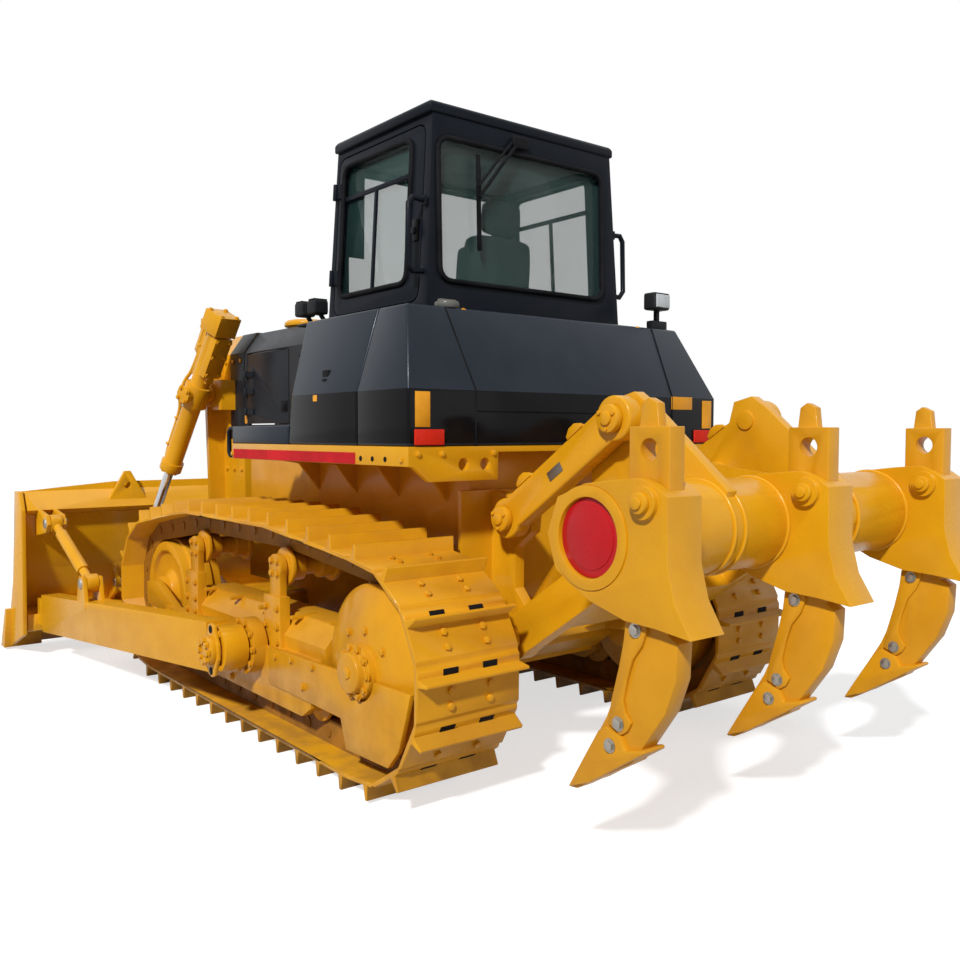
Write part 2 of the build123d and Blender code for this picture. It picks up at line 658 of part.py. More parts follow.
def hood_section(inset):
    half = HOOD_HALF - inset
    top = HOOD_TOP - inset
    return [(-half, HOOD_LOW), (-half, top - 150), (110 - half, top), (half - 110, top), (half, top - 150),
            (half, HOOD_LOW)]


def engine_hood():
    """Hood over the engine, open below and in front, with a doorway each side."""
    hood = cross_plate(hood_section(0), CAB_FRONT + 20, HOOD_FRONT)
    hood -= cross_plate(hood_section(HOOD_WALL), CAB_FRONT + 20 + HOOD_WALL, HOOD_FRONT + 1)
    hood -= block(CAB_FRONT + 20 + HOOD_WALL, HOOD_FRONT + 1, HOOD_WALL - HOOD_HALF, HOOD_HALF - HOOD_WALL,
                  HOOD_LOW - 1, HOOD_LOW + HOOD_WALL + 1)
    x0, x1 = ENGINE_DOOR_X[0] - DOOR_GAP, ENGINE_DOOR_X[1] + DOOR_GAP
    z0, z1 = ENGINE_DOOR_Z[0] - DOOR_GAP, ENGINE_DOOR_Z[1] + DOOR_GAP
    return hood - block(x0, x1, -HOOD_HALF - 1, HOOD_HALF + 1, z0, z1)


def engine_door():
    """The left engine door, with three hinge knuckles at its front edge."""
    door = block(*ENGINE_DOOR_X, HOOD_HALF - HOOD_WALL, HOOD_HALF, *ENGINE_DOOR_Z)
    x, y = ENGINE_DOOR_X[1] + DOOR_GAP, HOOD_HALF + ENGINE_HINGE_OUT
    for up in ENGINE_HINGE_Z:
        z = ENGINE_DOOR_Z[0] + up
        door += knuckle((x, y, z), (x, y, z + KNUCKLE), 110, ENGINE_HINGE_OUT)
    return door


def precleaner():
    """Low round cap over the air inlet, on the hood."""
    x, y, r = PRECLEANER
    profile = [(0, HOOD_TOP), (r - 25, HOOD_TOP), (r - 25, HOOD_TOP + 14), (r, HOOD_TOP + 18), (r, HOOD_TOP + 44),
               (r - 22, HOOD_TOP + 62), (0, HOOD_TOP + 70)]
    face = make_face(Polyline(*[(along, 0, z) for along, z in profile], close=True))
    return Pos(x, y, 0) * revolve(face, Axis.Z, 360)


def radiator_guard():
    """Box round the radiator, which also carries the lift cylinders."""
    shell = cross_plate([(-GUARD_HALF, 1090), (GUARD_HALF, 1090), (GUARD_HALF, GUARD_TOP - 150),
                         (GUARD_HALF - 110, GUARD_TOP), (110 - GUARD_HALF, GUARD_TOP), (-GUARD_HALF, GUARD_TOP - 150)],
                        HOOD_FRONT + 4, GUARD_FRONT)
    waist = LIFT_PIVOT.Y - 134
    tower = [(GUARD_HALF - 20, 1150), (waist - 18, 1150), (waist, 1690), (waist + 8, 2150), (TOWER_OUT, 2300),
             (TOWER_OUT - 50, 2440), (TOWER_OUT - 54, TOWER_TOP), (TOWER_OUT - 110, TOWER_TOP), (GUARD_HALF - 20, 2200)]
    for side in (-1, 1):
        shell += cross_plate([(side * y, z) for y, z in tower], GUARD_FRONT - 45, GUARD_FRONT)
    shell -= block(HOOD_FRONT, GUARD_FRONT + 5, -GUARD_HALF + 60, GUARD_HALF - 60, 1200, GUARD_TOP - 160)
    return shell


def radiator_grille():
    """Louvres in the front of the guard."""
    half = GUARD_HALF - 60
    grille = block(GUARD_FRONT - 60, GUARD_FRONT - 30, -half, half, 1200, GUARD_TOP - 160)
    for i in range(8):
        z = 1235 + i * 122
        grille -= block(GUARD_FRONT - 70, GUARD_FRONT, -half + 40, -20, z, z + 80)
        grille -= block(GUARD_FRONT - 70, GUARD_FRONT, 20, half - 40, z, z + 80)
    return grille


# ----------------------------------------------------------------- lift cylinders
LIFT_LINE = (LIFT_EYE - LIFT_CAP).normalized()
LIFT_PIVOT = LIFT_CAP + LIFT_LINE * LIFT_PIVOT_AT
LIFT_GLAND = LIFT_CAP + LIFT_LINE * LIFT_GLAND_AT
# the trunnion's line: square to the cylinder, and half-way to its splay when the blade is high
LIFT_AXIS = Vector(0.34, -0.94, 0.03).normalized()
LIFT_AXIS = (LIFT_AXIS - LIFT_LINE * LIFT_AXIS.dot(LIFT_LINE)).normalized()


def lift_box(start, end, across, deep, shift=0.0):
    """A block along the left lift cylinder, between two distances from its cap's top."""
    origin = LIFT_CAP + LIFT_LINE * start
    plane = Plane(origin=origin, x_dir=LIFT_AXIS, z_dir=LIFT_LINE)
    return extrude(plane * Pos(0, shift) * Rectangle(across, deep), amount=end - start)


def lift_barrel():
    """The left lift cylinder's barrel with its bolted cap, hung in the middle on a stub pin."""
    barrel = bar(LIFT_CAP + LIFT_LINE * 60, LIFT_GLAND, LIFT_BARREL_R)
    barrel += lift_box(0, 150, 190, 170)
    barrel += lift_box(160, 470, 150, 60, 60)
    barrel += lift_box(160, 520, 60, 170)
    barrel += bar(LIFT_PIVOT - LIFT_LINE * 80, LIFT_PIVOT + LIFT_LINE * 80, 98)
    barrel += bar(LIFT_PIVOT - LIFT_AXIS * LIFT_RING, LIFT_PIVOT + LIFT_AXIS * LIFT_RING, 62)
    barrel += bar(LIFT_GLAND - LIFT_LINE * 70, LIFT_GLAND, LIFT_GLAND_R)
    barrel += bar(LIFT_PIVOT, LIFT_PIVOT + LIFT_AXIS * (LIFT_RING + 55), LIFT_PIN_R)
    return barrel - bar(LIFT_CAP + LIFT_LINE * LIFT_BORE_AT, LIFT_GLAND + LIFT_LINE, LIFT_ROD_R + CLEARANCE)


def lift_rod():
    """The left lift cylinder's rod and eye."""
    rod = bar(LIFT_GLAND - LIFT_LINE * LIFT_TAIL, LIFT_EYE, LIFT_ROD_R)
    half = Vector(0, LIFT_EYE_HALF, 0)
    eye = bar(LIFT_EYE - half, LIFT_EYE + half, LIFT_EYE_R)
    return rod + eye - bar(LIFT_EYE - half * 1.1, LIFT_EYE + half * 1.1, 30)


def lift_yoke():
    """Bearing on the guard that holds the stub pin of the left cylinder."""
    near, far = LIFT_RING + 6, LIFT_RING + 60
    bearing = bar(LIFT_PIVOT + LIFT_AXIS * near, LIFT_PIVOT + LIFT_AXIS * far, 95)
    foot = block(LIFT_PIVOT.X - 95, LIFT_PIVOT.X + 95, GUARD_HALF - 30, LIFT_PIVOT.Y - LIFT_RING - 30,
                 LIFT_PIVOT.Z - 110, LIFT_PIVOT.Z + 110)
    return bearing + foot - bar(LIFT_PIVOT, LIFT_PIVOT + LIFT_AXIS * (far + 5), LIFT_PIN_R + CLEARANCE)


# ----------------------------------------------------------------- blade
def blade_arc():
    """Three points of the front face: toe, middle and top."""
    dx, dz = BLADE_TOP_X - BLADE_TOE_X, BLADE_TOP - BLADE_TOE_Z
    chord = math.hypot(dx, dz)
    middle = ((BLADE_TOP_X + BLADE_TOE_X) / 2 - BLADE_BELLY * dz / chord,
              (BLADE_TOP + BLADE_TOE_Z) / 2 + BLADE_BELLY * dx / chord)
    return (BLADE_TOE_X, BLADE_TOE_Z), middle, (BLADE_TOP_X, BLADE_TOP)


def mouldboard():
    """The curved plate."""
    toe, middle, top = blade_arc()

    def at(point, back=0.0):
        return (point[0] - back, -MOULD_HALF, point[1])

    front = ThreePointArc(at(toe), at(middle), at(top))
    back = ThreePointArc(at(top, BLADE_SKIN), at(middle, BLADE_SKIN), at(toe, BLADE_SKIN + 10))
    face = make_face([front, Line(at(top), at(top, BLADE_SKIN)), back, Line(at(toe, BLADE_SKIN + 10), at(toe))])
    return extrude(face, amount=2 * MOULD_HALF, dir=(0, 1, 0))


def blade():
    """Curved plate with its stiffening boxes, end plates, lugs and brackets."""
    half = MOULD_HALF
    plate = mouldboard()
    # upper box with its sloping shelf, and the box along the foot
    shelf = BLADE_TOP_END + 1
    plate += side_plate([(3860, shelf), (3760, 1100), (3850, 1060), (3885, 1060), (3885, shelf)], 20 - half, half - 20)
    plate += side_plate([(3830, 200), (3830, 320), (4040, 345), (4080, 250), (4110, 190), (3900, 180)], 20 - half, half - 20)
    nose = BLADE_TOE_X + END_BIT_NOSE
    eye_x, eye_z = LIFT_EYE.X, LIFT_EYE.Z
    for side in (-1, 1):
        plate += side_plate([(BLADE_TOE_X + 10, 40), (4230, 200), (4080, 560), (4015, 900), (3960, BLADE_TOP_END + 30),
                             (3850, BLADE_TOP_END + 30), (3760, 1100), (3800, 180), (4180, 40)],
                            side * (half - 5), side * (half + 22))
        plate += side_plate([(nose, 20), (nose - 160, 330), (nose - 210, 330), (nose - 110, 20)],
                            side * (half - 200), side * BLADE_HALF)
        # shoulders of the top edge
        plate -= cross_plate([(side * SHOULDER_Y, BLADE_TOP + 1), (side * (half + 30), BLADE_TOP_END),
                              (side * (half + 30), BLADE_TOP + 60), (side * SHOULDER_Y, BLADE_TOP + 60)], 3700, 4100)
        # lifting lug on the shelf
        y, z = LUG_HOLE
        lug = cross_plate([(side * (y - 170), z - 152), (side * (y + 165), z - 152), (side * (y + 20), z + 110),
                           (side * (y - 25), z + 110)], 3800, 3830)
        lug += block(3828, 3880, side * (y - 170), side * (y + 165), z - 152, z - 82)
        plate += lug - bar((3780, side * y, z), (3860, side * y, z), LUG_HOLE_R)
        # ears of the lift cylinder
        ear = [(3945, eye_z + 185), (eye_x + 8, eye_z + 62), (eye_x - 48, eye_z + 38), (eye_x - 62, eye_z - 10),
               (eye_x - 34, eye_z - 56), (4012, eye_z - 155)]
        for edge in (-LIFT_EARS - 30, LIFT_EARS):
            plate += side_plate(ear, side * LIFT_EYE.Y + edge, side * LIFT_EYE.Y + edge + 30)
        # ears of the brace, and the pad of the push arm
        x, y, z = BRACE_TOP
        ear = [(3880, z + 103), (x - 20, z + 58), (x - 60, z - 7), (x, z - 67), (3900, z - 117)]
        for edge in (-EAR_GAP - EAR, EAR_GAP):
            plate += side_plate(ear, side * y + edge, side * y + edge + EAR)
        x, y, z = ARM_FRONT
        plate += block(x + ARM_GAP, 3835, side * y - 60, side * y + 60, z - 100, z + 95)
    return plate


def push_arm():
    """The left push arm, from its trunnion bearing to the blade."""
    rear, front = Vector(*ARM_REAR), Vector(*ARM_FRONT)
    plane = Plane(origin=rear, z_dir=front - rear, x_dir=(front - rear).cross(Vector(0, 0, 1)))
    beam = extrude(plane * Rectangle(ARM_WIDE, ARM_HIGH), amount=(front - rear).length)
    bearing = axle(TRUNNION_X, TRUNNION_Z, FRAME_OUT + 85, FRAME_OUT + 215, 120)
    neck = block(TRUNNION_X, ARM_REAR[0] + 60, FRAME_OUT + 95, FRAME_OUT + 205, TRUNNION_Z - 110, TRUNNION_Z + 110)
    arm = beam + bearing + neck - axle(TRUNNION_X, TRUNNION_Z, FRAME_OUT, FRAME_OUT + 300, TRUNNION_R + CLEARANCE)
    # bolted cap over the bearing's front half
    arm += block(TRUNNION_X - 60, TRUNNION_X + 60, FRAME_OUT + 215, FRAME_OUT + 228, TRUNNION_Z - 105, TRUNNION_Z - 75)
    arm += block(TRUNNION_X - 60, TRUNNION_X + 60, FRAME_OUT + 215, FRAME_OUT + 228, TRUNNION_Z + 75, TRUNNION_Z + 105)
    x, y, z = BRACE_LOW
    for edge in (-EAR_GAP - EAR, EAR_GAP):
        arm += side_plate([(x - 90, z - 160), (x - 45, z + 45), (x + 45, z + 45), (x + 130, z - 170)], y + edge, y + edge + EAR)
    return arm


def brace(radius):
    """Screw brace between the left arm and the blade."""
    low, top = Vector(*BRACE_LOW), Vector(*BRACE_TOP)
    line = (top - low).normalized()
    pipe = bar(low, top, 30) + bar(low + line * 140, top - line * 140, radius)
    reach = Vector(0, EAR_GAP - 3, 0)
    for end in (low, top):
        pipe += bar(end - reach, end + reach, 62)
    return pipe


# ----------------------------------------------------------------- ripper
def link_end(pivot):
    """Rear pin of a link, from its front pin."""
    angle = math.radians(LINK_ANGLE)
    return (pivot[0] - LINK_LENGTH * math.cos(angle), pivot[1] + LINK_LENGTH * math.sin(angle))


LINK_TOP_END = link_end(LINK_TOP)
LINK_LOW_END = link_end(LINK_LOW)
PIN_R = 45.0
RAM_TOP = (LINK_TOP_END[0] + RAM_EAR[0], LINK_TOP_END[1] + RAM_EAR[1])


def ripper_bracket():
    """Plates on the back of the hull that hold the ripper's front pins."""
    bracket = cross_plate([(-462, 560), (462, 560), (462, 935), (640, 935), (640, 1380), (-640, 1380), (-640, 935),
                           (-462, 935)], HULL_REAR - 30, HULL_REAR - 2)
    for side in (-1, 1):
        bracket += side_plate([(HULL_REAR - 10, 560), (-250, 590), (-335, 650), (-335, 720), (-250, 790), (-150, 900),
                               (-150, 1100), (-270, 1190), (-280, 1290), (-200, 1345), (HULL_REAR - 10, 1380)],
                              side * PLATE_IN, side * PLATE_OUT)
        for x, z in (LINK_TOP, LINK_LOW):
            bracket += axle(x, z, side * (PLATE_IN - 10), side * (LINK_OUT + 18), PIN_R)
        # ears and pin of the ram's foot
        x, z = RAM_FOOT
        near, far = RAM_Y - RAM_HALF - 6, RAM_Y + RAM_HALF + 6
        bracket += side_plate([(HULL_REAR - 10, z - 140), (x - 20, z - 62), (x - 62, z - 20), (x - 62, z + 20),
                               (x - 20, z + 62), (HULL_REAR - 10, z + 120)], side * (near - 35), side * near)
        bracket += axle(x, z, side * far, side * (PLATE_IN + 5), 62)
        bracket += axle(x, z, side * (near - 40), side * (PLATE_IN + 5), RAM_PIN_R)
    return bracket


def link_bar(front, rear, y0, y1, half, boss):
    """A flat bar with a boss at each pin."""
    angle = math.atan2(rear[1] - front[1], rear[0] - front[0])
    nx, nz = -math.sin(angle) * half, math.cos(angle) * half
    plate = side_plate([(front[0] + nx, front[1] + nz), (rear[0] + nx, rear[1] + nz),
                        (rear[0] - nx, rear[1] - nz), (front[0] - nx, front[1] - nz)], y0, y1)
    for x, z in (front, rear):
        plate += axle(x, z, y0, y1, boss)
    for x, z in (front, rear):
        plate -= axle(x, z, min(y0, y1) - 1, max(y0, y1) + 1, PIN_R + CLEARANCE)
    return plate


def ripper_links():
    """The two upper links."""
    return Compound(children=[
        link_bar(LINK_TOP, LINK_TOP_END, side * LINK_IN, side * LINK_OUT, 78, 98) for side in (-1, 1)])


def ripper_arm():
    """The lower arm: two side bars and the box that ties them."""
    arm = None
    for side in (-1, 1):
        bar_ = link_bar(LINK_LOW, LINK_LOW_END, side * LINK_IN, side * LINK_OUT, 95, 105)
        arm = bar_ if arm is None else arm + bar_
    angle = math.radians(LINK_ANGLE)
    x = LINK_LOW[0] - 420 * math.cos(angle)
    z = LINK_LOW[1] + 420 * math.sin(angle)
    tie = Pos(x, 0, z) * Rot(0, LINK_ANGLE, 0) * Pos(0, 0, -50) * Box(240, 2 * LINK_IN + 20, 90)
    return arm + tie


def shank_pocket(y, low, high):
    """The space in a holder that a shank slides into."""
    half = SHANK_WIDTH / 2 + 3
    return block(SHANK_FRONT - SHANK_DEPTH - 3, SHANK_FRONT + 3, y - half, y + half, low, high)


def ripper_beam():
    """Tube across the back, with the towers that take the links and the rams."""
    beam = axle(TUBE_X, TUBE_Z, -TUBE_HALF, TUBE_HALF, TUBE_R)
    ux, uz = LINK_TOP_END
    lx, lz = LINK_LOW_END
    x, z = RAM_TOP
    near, far = RAM_Y - RAM_HALF - 6, RAM_Y + RAM_HALF + 6
    tower = [(ux + 105, uz - 40), (ux + 70, uz + 90), (ux - 30, uz + 115), (ux - 110, uz + 60), (TUBE_X - 150, TUBE_Z + 150),
             (TUBE_X - 60, TUBE_Z - 100), (lx - 60, lz - 110), (lx + 70, lz - 80), (lx + 100, lz + 40), (x - 10, z - 65),
             (x + 58, z - 25), (x + 58, z + 35)]
    ear = [(x - 40, z + 58), (x + 40, z + 45), (x + 60, z), (x + 30, z - 55), (TUBE_X + 120, TUBE_Z - 90),
           (TUBE_X + 20, TUBE_Z + 180)]
    for side in (-1, 1):
        beam += side_plate(tower, side * PLATE_IN, side * PLATE_OUT)
        for pin_x, pin_z in (LINK_TOP_END, LINK_LOW_END):
            beam += axle(pin_x, pin_z, side * (PLATE_IN - 10), side * (LINK_OUT + 18), PIN_R)
        beam += side_plate(ear, side * (near - 35), side * near)
        beam += axle(x, z, side * (near - 45), side * near, 45)
        beam += axle(x, z, side * far, side * (PLATE_IN + 5), 55)
    for y in RIPPER_Y:
        beam -= shank_pocket(y, TUBE_Z - TUBE_R - 1, TUBE_Z + TUBE_R + 1)
    for side in (-1, 1):
        end = side * (TUBE_HALF + DISC_DEEP)
        beam += axle(TUBE_X, TUBE_Z, side * TUBE_HALF, end, TUBE_R) - axle(TUBE_X, TUBE_Z, side * TUBE_HALF, end, DISC_R)
    return beam


HOLDER = (
    # x, z round the holder, from the top of its rear face
    (-1572, 1488), (-1506, 1515), (-1377, 1503), (-1240, 1485), (-1100, 1430), (-1045, 1290), (-1090, 1160), (-1175, 1108),
    (-1269, 1062), (-1439, 1016), (-1583, 1009), (-1726, 993), (-1658, 1104), (-1627, 1226), (-1624, 1454),
)


def ripper_holders():
    """Three cast holders on the tube, each with a pocket for a shank."""
    pieces = []
    for y in RIPPER_Y:
        half = HOLDER_WIDTH / 2
        holder = side_plate(HOLDER, y - half, y + half)
        holder += axle(*SHANK_PIN, y - half - 22, y + half + 22, 58)
        holder -= axle(TUBE_X, TUBE_Z, y - half - 30, y + half + 30, TUBE_R + CLEARANCE)
        pieces.append(holder - shank_pocket(y, 900, 1600))
    return Compound(children=pieces)


def ripper_shanks():
    """Three shanks with their points."""
    pieces = []
    outline = [(SHANK_FRONT, SHANK_TOP), (SHANK_FRONT, 990), (-1378, 800), (-1310, 640), (-1260, 560), (-1122, 326),
               (-1160, 330), (-1432, 500), (-1477, 560), (-1582, 711), (-1626, 832), (-1632, 960),
               (SHANK_FRONT - SHANK_DEPTH, 985), (SHANK_FRONT - SHANK_DEPTH, SHANK_TOP)]
    for y in RIPPER_Y:
        half = SHANK_WIDTH / 2
        shank = side_plate(outline, y - half, y + half)
        shank -= axle(*SHANK_HOLE, y - half - 1, y + half + 1, SHANK_HOLE_R)
        shank += side_plate([(-1438, SHANK_TOP - 5), (-1448, 1770), (-1478, 1790), (-1518, 1770), (-1528, SHANK_TOP - 5)],
                            y - 20, y + 20)
        pieces.append(shank)
    return Compound(children=pieces)


RAM_SPAN = math.hypot(RAM_TOP[0] - RAM_FOOT[0], RAM_TOP[1] - RAM_FOOT[1])
RAM_UNIT = Vector((RAM_TOP[0] - RAM_FOOT[0]) / RAM_SPAN, 0, (RAM_TOP[1] - RAM_FOOT[1]) / RAM_SPAN)


def ripper_barrels():
    """Barrels of the two ripper cylinders, hung on the hull bracket."""
    pieces = []
    for side in (-1, 1):
        foot = Vector(RAM_FOOT[0], side * RAM_Y, RAM_FOOT[1])
        reach = Vector(0, RAM_HALF, 0)
        barrel = bar(foot, foot + RAM_UNIT * RAM_BORE_AT, 38) + bar(foot + RAM_UNIT * 70, foot + RAM_UNIT * RAM_BARREL, RAM_R)
        barrel += bar(foot + RAM_UNIT * (RAM_BARREL - 60), foot + RAM_UNIT * RAM_BARREL, RAM_R + 10)
        barrel -= bar(foot + RAM_UNIT * RAM_BORE_AT, foot + RAM_UNIT * (RAM_BARREL + 1), RAM_ROD_R + CLEARANCE)
        barrel += bar(foot - reach, foot + reach, RAM_EYE + 8)
        pieces.append(barrel - bar(foot - reach * 1.1, foot + reach * 1.1, RAM_PIN_R + CLEARANCE))
    return Compound(children=pieces)


def ripper_rods():
    """Rods of the two ripper cylinders."""
    pieces = []
    for side in (-1, 1):
        foot = Vector(RAM_FOOT[0], side * RAM_Y, RAM_FOOT[1])
        end = Vector(RAM_TOP[0], side * RAM_Y, RAM_TOP[1])
        reach = Vector(0, RAM_HALF, 0)
        rod = bar(foot + RAM_UNIT * RAM_TAIL, end, RAM_ROD_R) + bar(end - reach, end + reach, RAM_EYE)
        pieces.append(rod - bar(end - reach * 1.1, end + reach * 1.1, RAM_PIN_R))
    return Compound(children=pieces)


# ----------------------------------------------------------------- write the pieces
def pair(name, shape):
    """A left piece and its mirror image."""
    return {name + "_left": shape, name + "_right": other_side(shape)}


def build():
    nodes = {}
    for name, maker in (
        ("track", track), ("cab_door", cab_door), ("door_glass", door_glass), ("engine_door", engine_door),
        ("lift_barrel", lift_barrel), ("lift_rod", lift_rod), ("push_arm", push_arm),
    ):
        nodes.update(pair(name, maker()))
    for name, maker in (
        ("final_drives", final_drive), ("idlers", idler), ("rollers", rollers), ("track_frames", track_frame),
        ("side_boxes", side_box),
    ):
        nodes[name] = both_sides(maker())
    yoke = lift_yoke()
    nodes["radiator_guard"] = radiator_guard() + yoke + other_side(yoke)
    nodes["brace"] = brace(42)
    nodes["tilt_cylinder"] = other_side(brace(68))
    for maker in (hull, equalizer_bar, engine, platform, fuel_tank, deck_strip, cab_frame, cab_glass, cab_roof,
                  cab_seat, cab_console, engine_hood, precleaner, radiator_grille, blade, ripper_bracket,
                  ripper_links, ripper_arm, ripper_beam, ripper_holders, ripper_shanks, ripper_barrels, ripper_rods):
        nodes[maker.__name__] = maker()
    return nodes


REAR_MOST = min(x for x, z in HOLDER)
FRONT_MOST = BLADE_TOE_X + END_BIT_NOSE
SHIFT_X = -(REAR_MOST + FRONT_MOST) / 2

if __name__ == "__main__":
    os.makedirs("parts", exist_ok=True)
    for name, shape in build().items():
        export_step(Pos(SHIFT_X, 0, 0) * shape, os.path.join("parts", name + ".step"))
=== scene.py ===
"""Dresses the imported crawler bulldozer: softened castings, paints, bolts, seals, handles, lamps and cab trim."""
from __future__ import annotations

import json
import logging
import math
from dataclasses import dataclass
from enum import Enum
from typing import Iterable, Sequence

import bpy
import numpy as np
from mathutils import Matrix, Vector

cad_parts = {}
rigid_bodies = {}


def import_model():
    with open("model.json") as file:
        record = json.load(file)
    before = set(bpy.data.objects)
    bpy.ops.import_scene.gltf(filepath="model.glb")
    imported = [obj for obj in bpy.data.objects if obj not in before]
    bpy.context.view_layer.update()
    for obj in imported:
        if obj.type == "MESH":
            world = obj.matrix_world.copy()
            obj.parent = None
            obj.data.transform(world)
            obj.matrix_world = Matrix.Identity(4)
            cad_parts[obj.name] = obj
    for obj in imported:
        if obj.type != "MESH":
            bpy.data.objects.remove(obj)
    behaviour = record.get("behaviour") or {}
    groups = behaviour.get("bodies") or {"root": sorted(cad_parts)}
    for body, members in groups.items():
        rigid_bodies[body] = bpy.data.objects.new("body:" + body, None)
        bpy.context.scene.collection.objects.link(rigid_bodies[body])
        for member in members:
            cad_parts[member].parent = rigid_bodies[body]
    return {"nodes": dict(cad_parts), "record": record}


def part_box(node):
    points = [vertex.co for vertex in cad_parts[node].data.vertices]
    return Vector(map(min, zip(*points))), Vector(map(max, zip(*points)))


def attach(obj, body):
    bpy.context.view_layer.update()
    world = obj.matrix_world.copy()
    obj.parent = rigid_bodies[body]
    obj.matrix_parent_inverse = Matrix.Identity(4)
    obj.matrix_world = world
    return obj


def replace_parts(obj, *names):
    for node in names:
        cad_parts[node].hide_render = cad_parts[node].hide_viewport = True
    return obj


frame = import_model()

LOG = logging.getLogger("bulldozer")
Point = tuple[float, float, float]
Pair = tuple[float, float]
Outline = tuple[Pair, ...]
Object = bpy.types.Object
Material = bpy.types.Material
AXLE_TO_ORIGIN = -1.297   # the sprocket axle's x in the row frame, in metres
NODE_BODY = {node: body for body, nodes in frame["record"]["behaviour"]["bodies"].items() for node in nodes}
SIDES = ((1, "left"), (-1, "right"))   # sign of y on each side


def spot(x: float, y: float, z: float) -> Vector:
    """A point of the row frame from millimetres forward of the sprocket axle, left of the middle and up."""
    return Vector((x / 1000 + AXLE_TO_ORIGIN, y / 1000, z / 1000))


def mirrored(place: Point, side: int) -> Vector:
    """A point of the row frame whose second number counts outwards on a side, 1 for left and -1 for right."""
    return spot(place[0], side * place[1], place[2])


def profile(corners: Outline, y: float) -> list[Vector]:
    """An upright outline, given by x and z, at a distance left of the middle."""
    return [spot(x, y, z) for x, z in corners]


class Turn(Enum):
    """Main directions that a piece can face."""

    FORWARD = (1.0, 0.0, 0.0)
    BACK = (-1.0, 0.0, 0.0)
    LEFT = (0.0, 1.0, 0.0)

    @property
    def vector(self) -> Vector:
        """The direction as a vector."""
        return Vector(self.value)


# --------------------------------------------------------------------- shader maths
class Signal:
    """A shader socket that can be written in sums, like a number."""

    def __init__(self, graph: "Graph", socket: bpy.types.NodeSocket) -> None:
        """Wraps a socket of a graph."""
        self.graph = graph
        self.socket = socket

    def _maths(self, operation: str, *values: "Signal | float", clamp: bool = False) -> "Signal":
        """Adds one Math node.

        Args:
            operation: the Math node's operation.
            values: numbers or signals for its inputs.
            clamp: whether the result is kept between 0 and 1.

        Returns:
            The node's result.
        """
        return self.graph.node("ShaderNodeMath", {"operation": operation, "use_clamp": clamp}, dict(enumerate(values)))

    def __add__(self, other: "Signal | float") -> "Signal":
        """Sum."""
        return self._maths("ADD", self, other)

    __radd__ = __add__

    def __mul__(self, other: "Signal | float") -> "Signal":
        """Product."""
        return self._maths("MULTIPLY", self, other)

    __rmul__ = __mul__

    def __sub__(self, other: "Signal | float") -> "Signal":
        """Difference."""
        return self._maths("SUBTRACT", self, other)

    def __rsub__(self, other: "Signal | float") -> "Signal":
        """Difference, taken from a number."""
        return self._maths("SUBTRACT", other, self)

    def clamped(self) -> "Signal":
        """Kept between 0 and 1."""
        return self._maths("ADD", self, 0.0, clamp=True)

    def smooth(self, low: float, high: float) -> "Signal":
        """A soft step.

        Args:
            low: where the step begins to rise from 0.
            high: where it reaches 1.

        Returns:
            The step, between 0 and 1.
        """
        return self.graph.node(
            "ShaderNodeMapRange", {"interpolation_type": "SMOOTHSTEP"},
            {"Value": self, "From Min": low, "From Max": high})


class Graph:
    """A material's node tree, built one call at a time."""

    def __init__(self, name: str) -> None:
        """Starts an empty material of that name."""
        self.material = bpy.data.materials.new(name)
        self.material.use_nodes = True
        self.tree = self.material.node_tree
        self.tree.nodes.clear()

    def node(self, kind: str, settings: dict[str, object], inputs: dict[object, object], output: object = 0) -> Signal:
        """Adds a node.

        Args:
            kind: the node's type.
            settings: its properties, set first.
            inputs: values or signals by socket name or number.
            output: name or number of the socket that is handed back.

        Returns:
            That output.
        """
        node = self.tree.nodes.new(kind)
        for key, value in settings.items():
            setattr(node, key, value)
        for key, value in inputs.items():
            socket = node.inputs[key]
            if isinstance(value, Signal):
                self.tree.links.new(value.socket, socket)
            elif isinstance(value, tuple) and len(value) == 3 and socket.type == "RGBA":
                socket.default_value = (*value, 1.0)
            else:
                socket.default_value = value
        return Signal(self, node.outputs[output])

    def place(self) -> Signal:
        """Object coordinates."""
        return self.node("ShaderNodeTexCoord", {}, {}, "Object")

    def part(self, vector: Signal, axis: str) -> Signal:
        """One of the parts, X, Y or Z, of a vector."""
        return self.node("ShaderNodeSeparateXYZ", {}, {0: vector}, axis)

    def upward(self) -> Signal:
        """How far the surface faces up, from -1 to 1."""
        return self.part(self.node("ShaderNodeNewGeometry", {}, {}, "Normal"), "Z")

    def noise(self, scale: float, detail: float = 2.0, stretch: Point = (1.0, 1.0, 1.0), shift: float = 0.0) -> Signal:
        """Cloudy noise over the surface.

        Args:
            scale: lumps to the metre.
            detail: how many finer layers are added.
            stretch: scale along each axis.
            shift: moves the pattern.

        Returns:
            A value about 0.5.
        """
        mapped = self.node("ShaderNodeMapping", {"vector_type": "POINT"},
                           {"Vector": self.place(), "Scale": stretch, "Location": (shift, shift * 0.7, shift * 1.3)})
        return self.node("ShaderNodeTexNoise", {}, {"Vector": mapped, "Scale": scale, "Detail": detail}, 0)

    def mix(self, share: "Signal | float", first: "Signal | Point", second: "Signal | Point") -> Signal:
        """Blends two colours."""
        return self.node("ShaderNodeMix", {"data_type": "RGBA"}, {0: share, 6: first, 7: second}, 2)

    def bump(self, height: Signal, strength: float, distance: float) -> Signal:
        """A normal from a height."""
        return self.node("ShaderNodeBump", {}, {"Strength": strength, "Distance": distance, "Height": height})

    def surface(self, inputs: dict[object, object]) -> Material:
        """Ends the tree in a principled shader.

        Args:
            inputs: the shader's values or signals.

        Returns:
            The material.
        """
        shader = self.node("ShaderNodeBsdfPrincipled", {}, inputs)
        out = self.tree.nodes.new("ShaderNodeOutputMaterial")
        self.tree.links.new(shader.socket, out.inputs["Surface"])
        return self.material


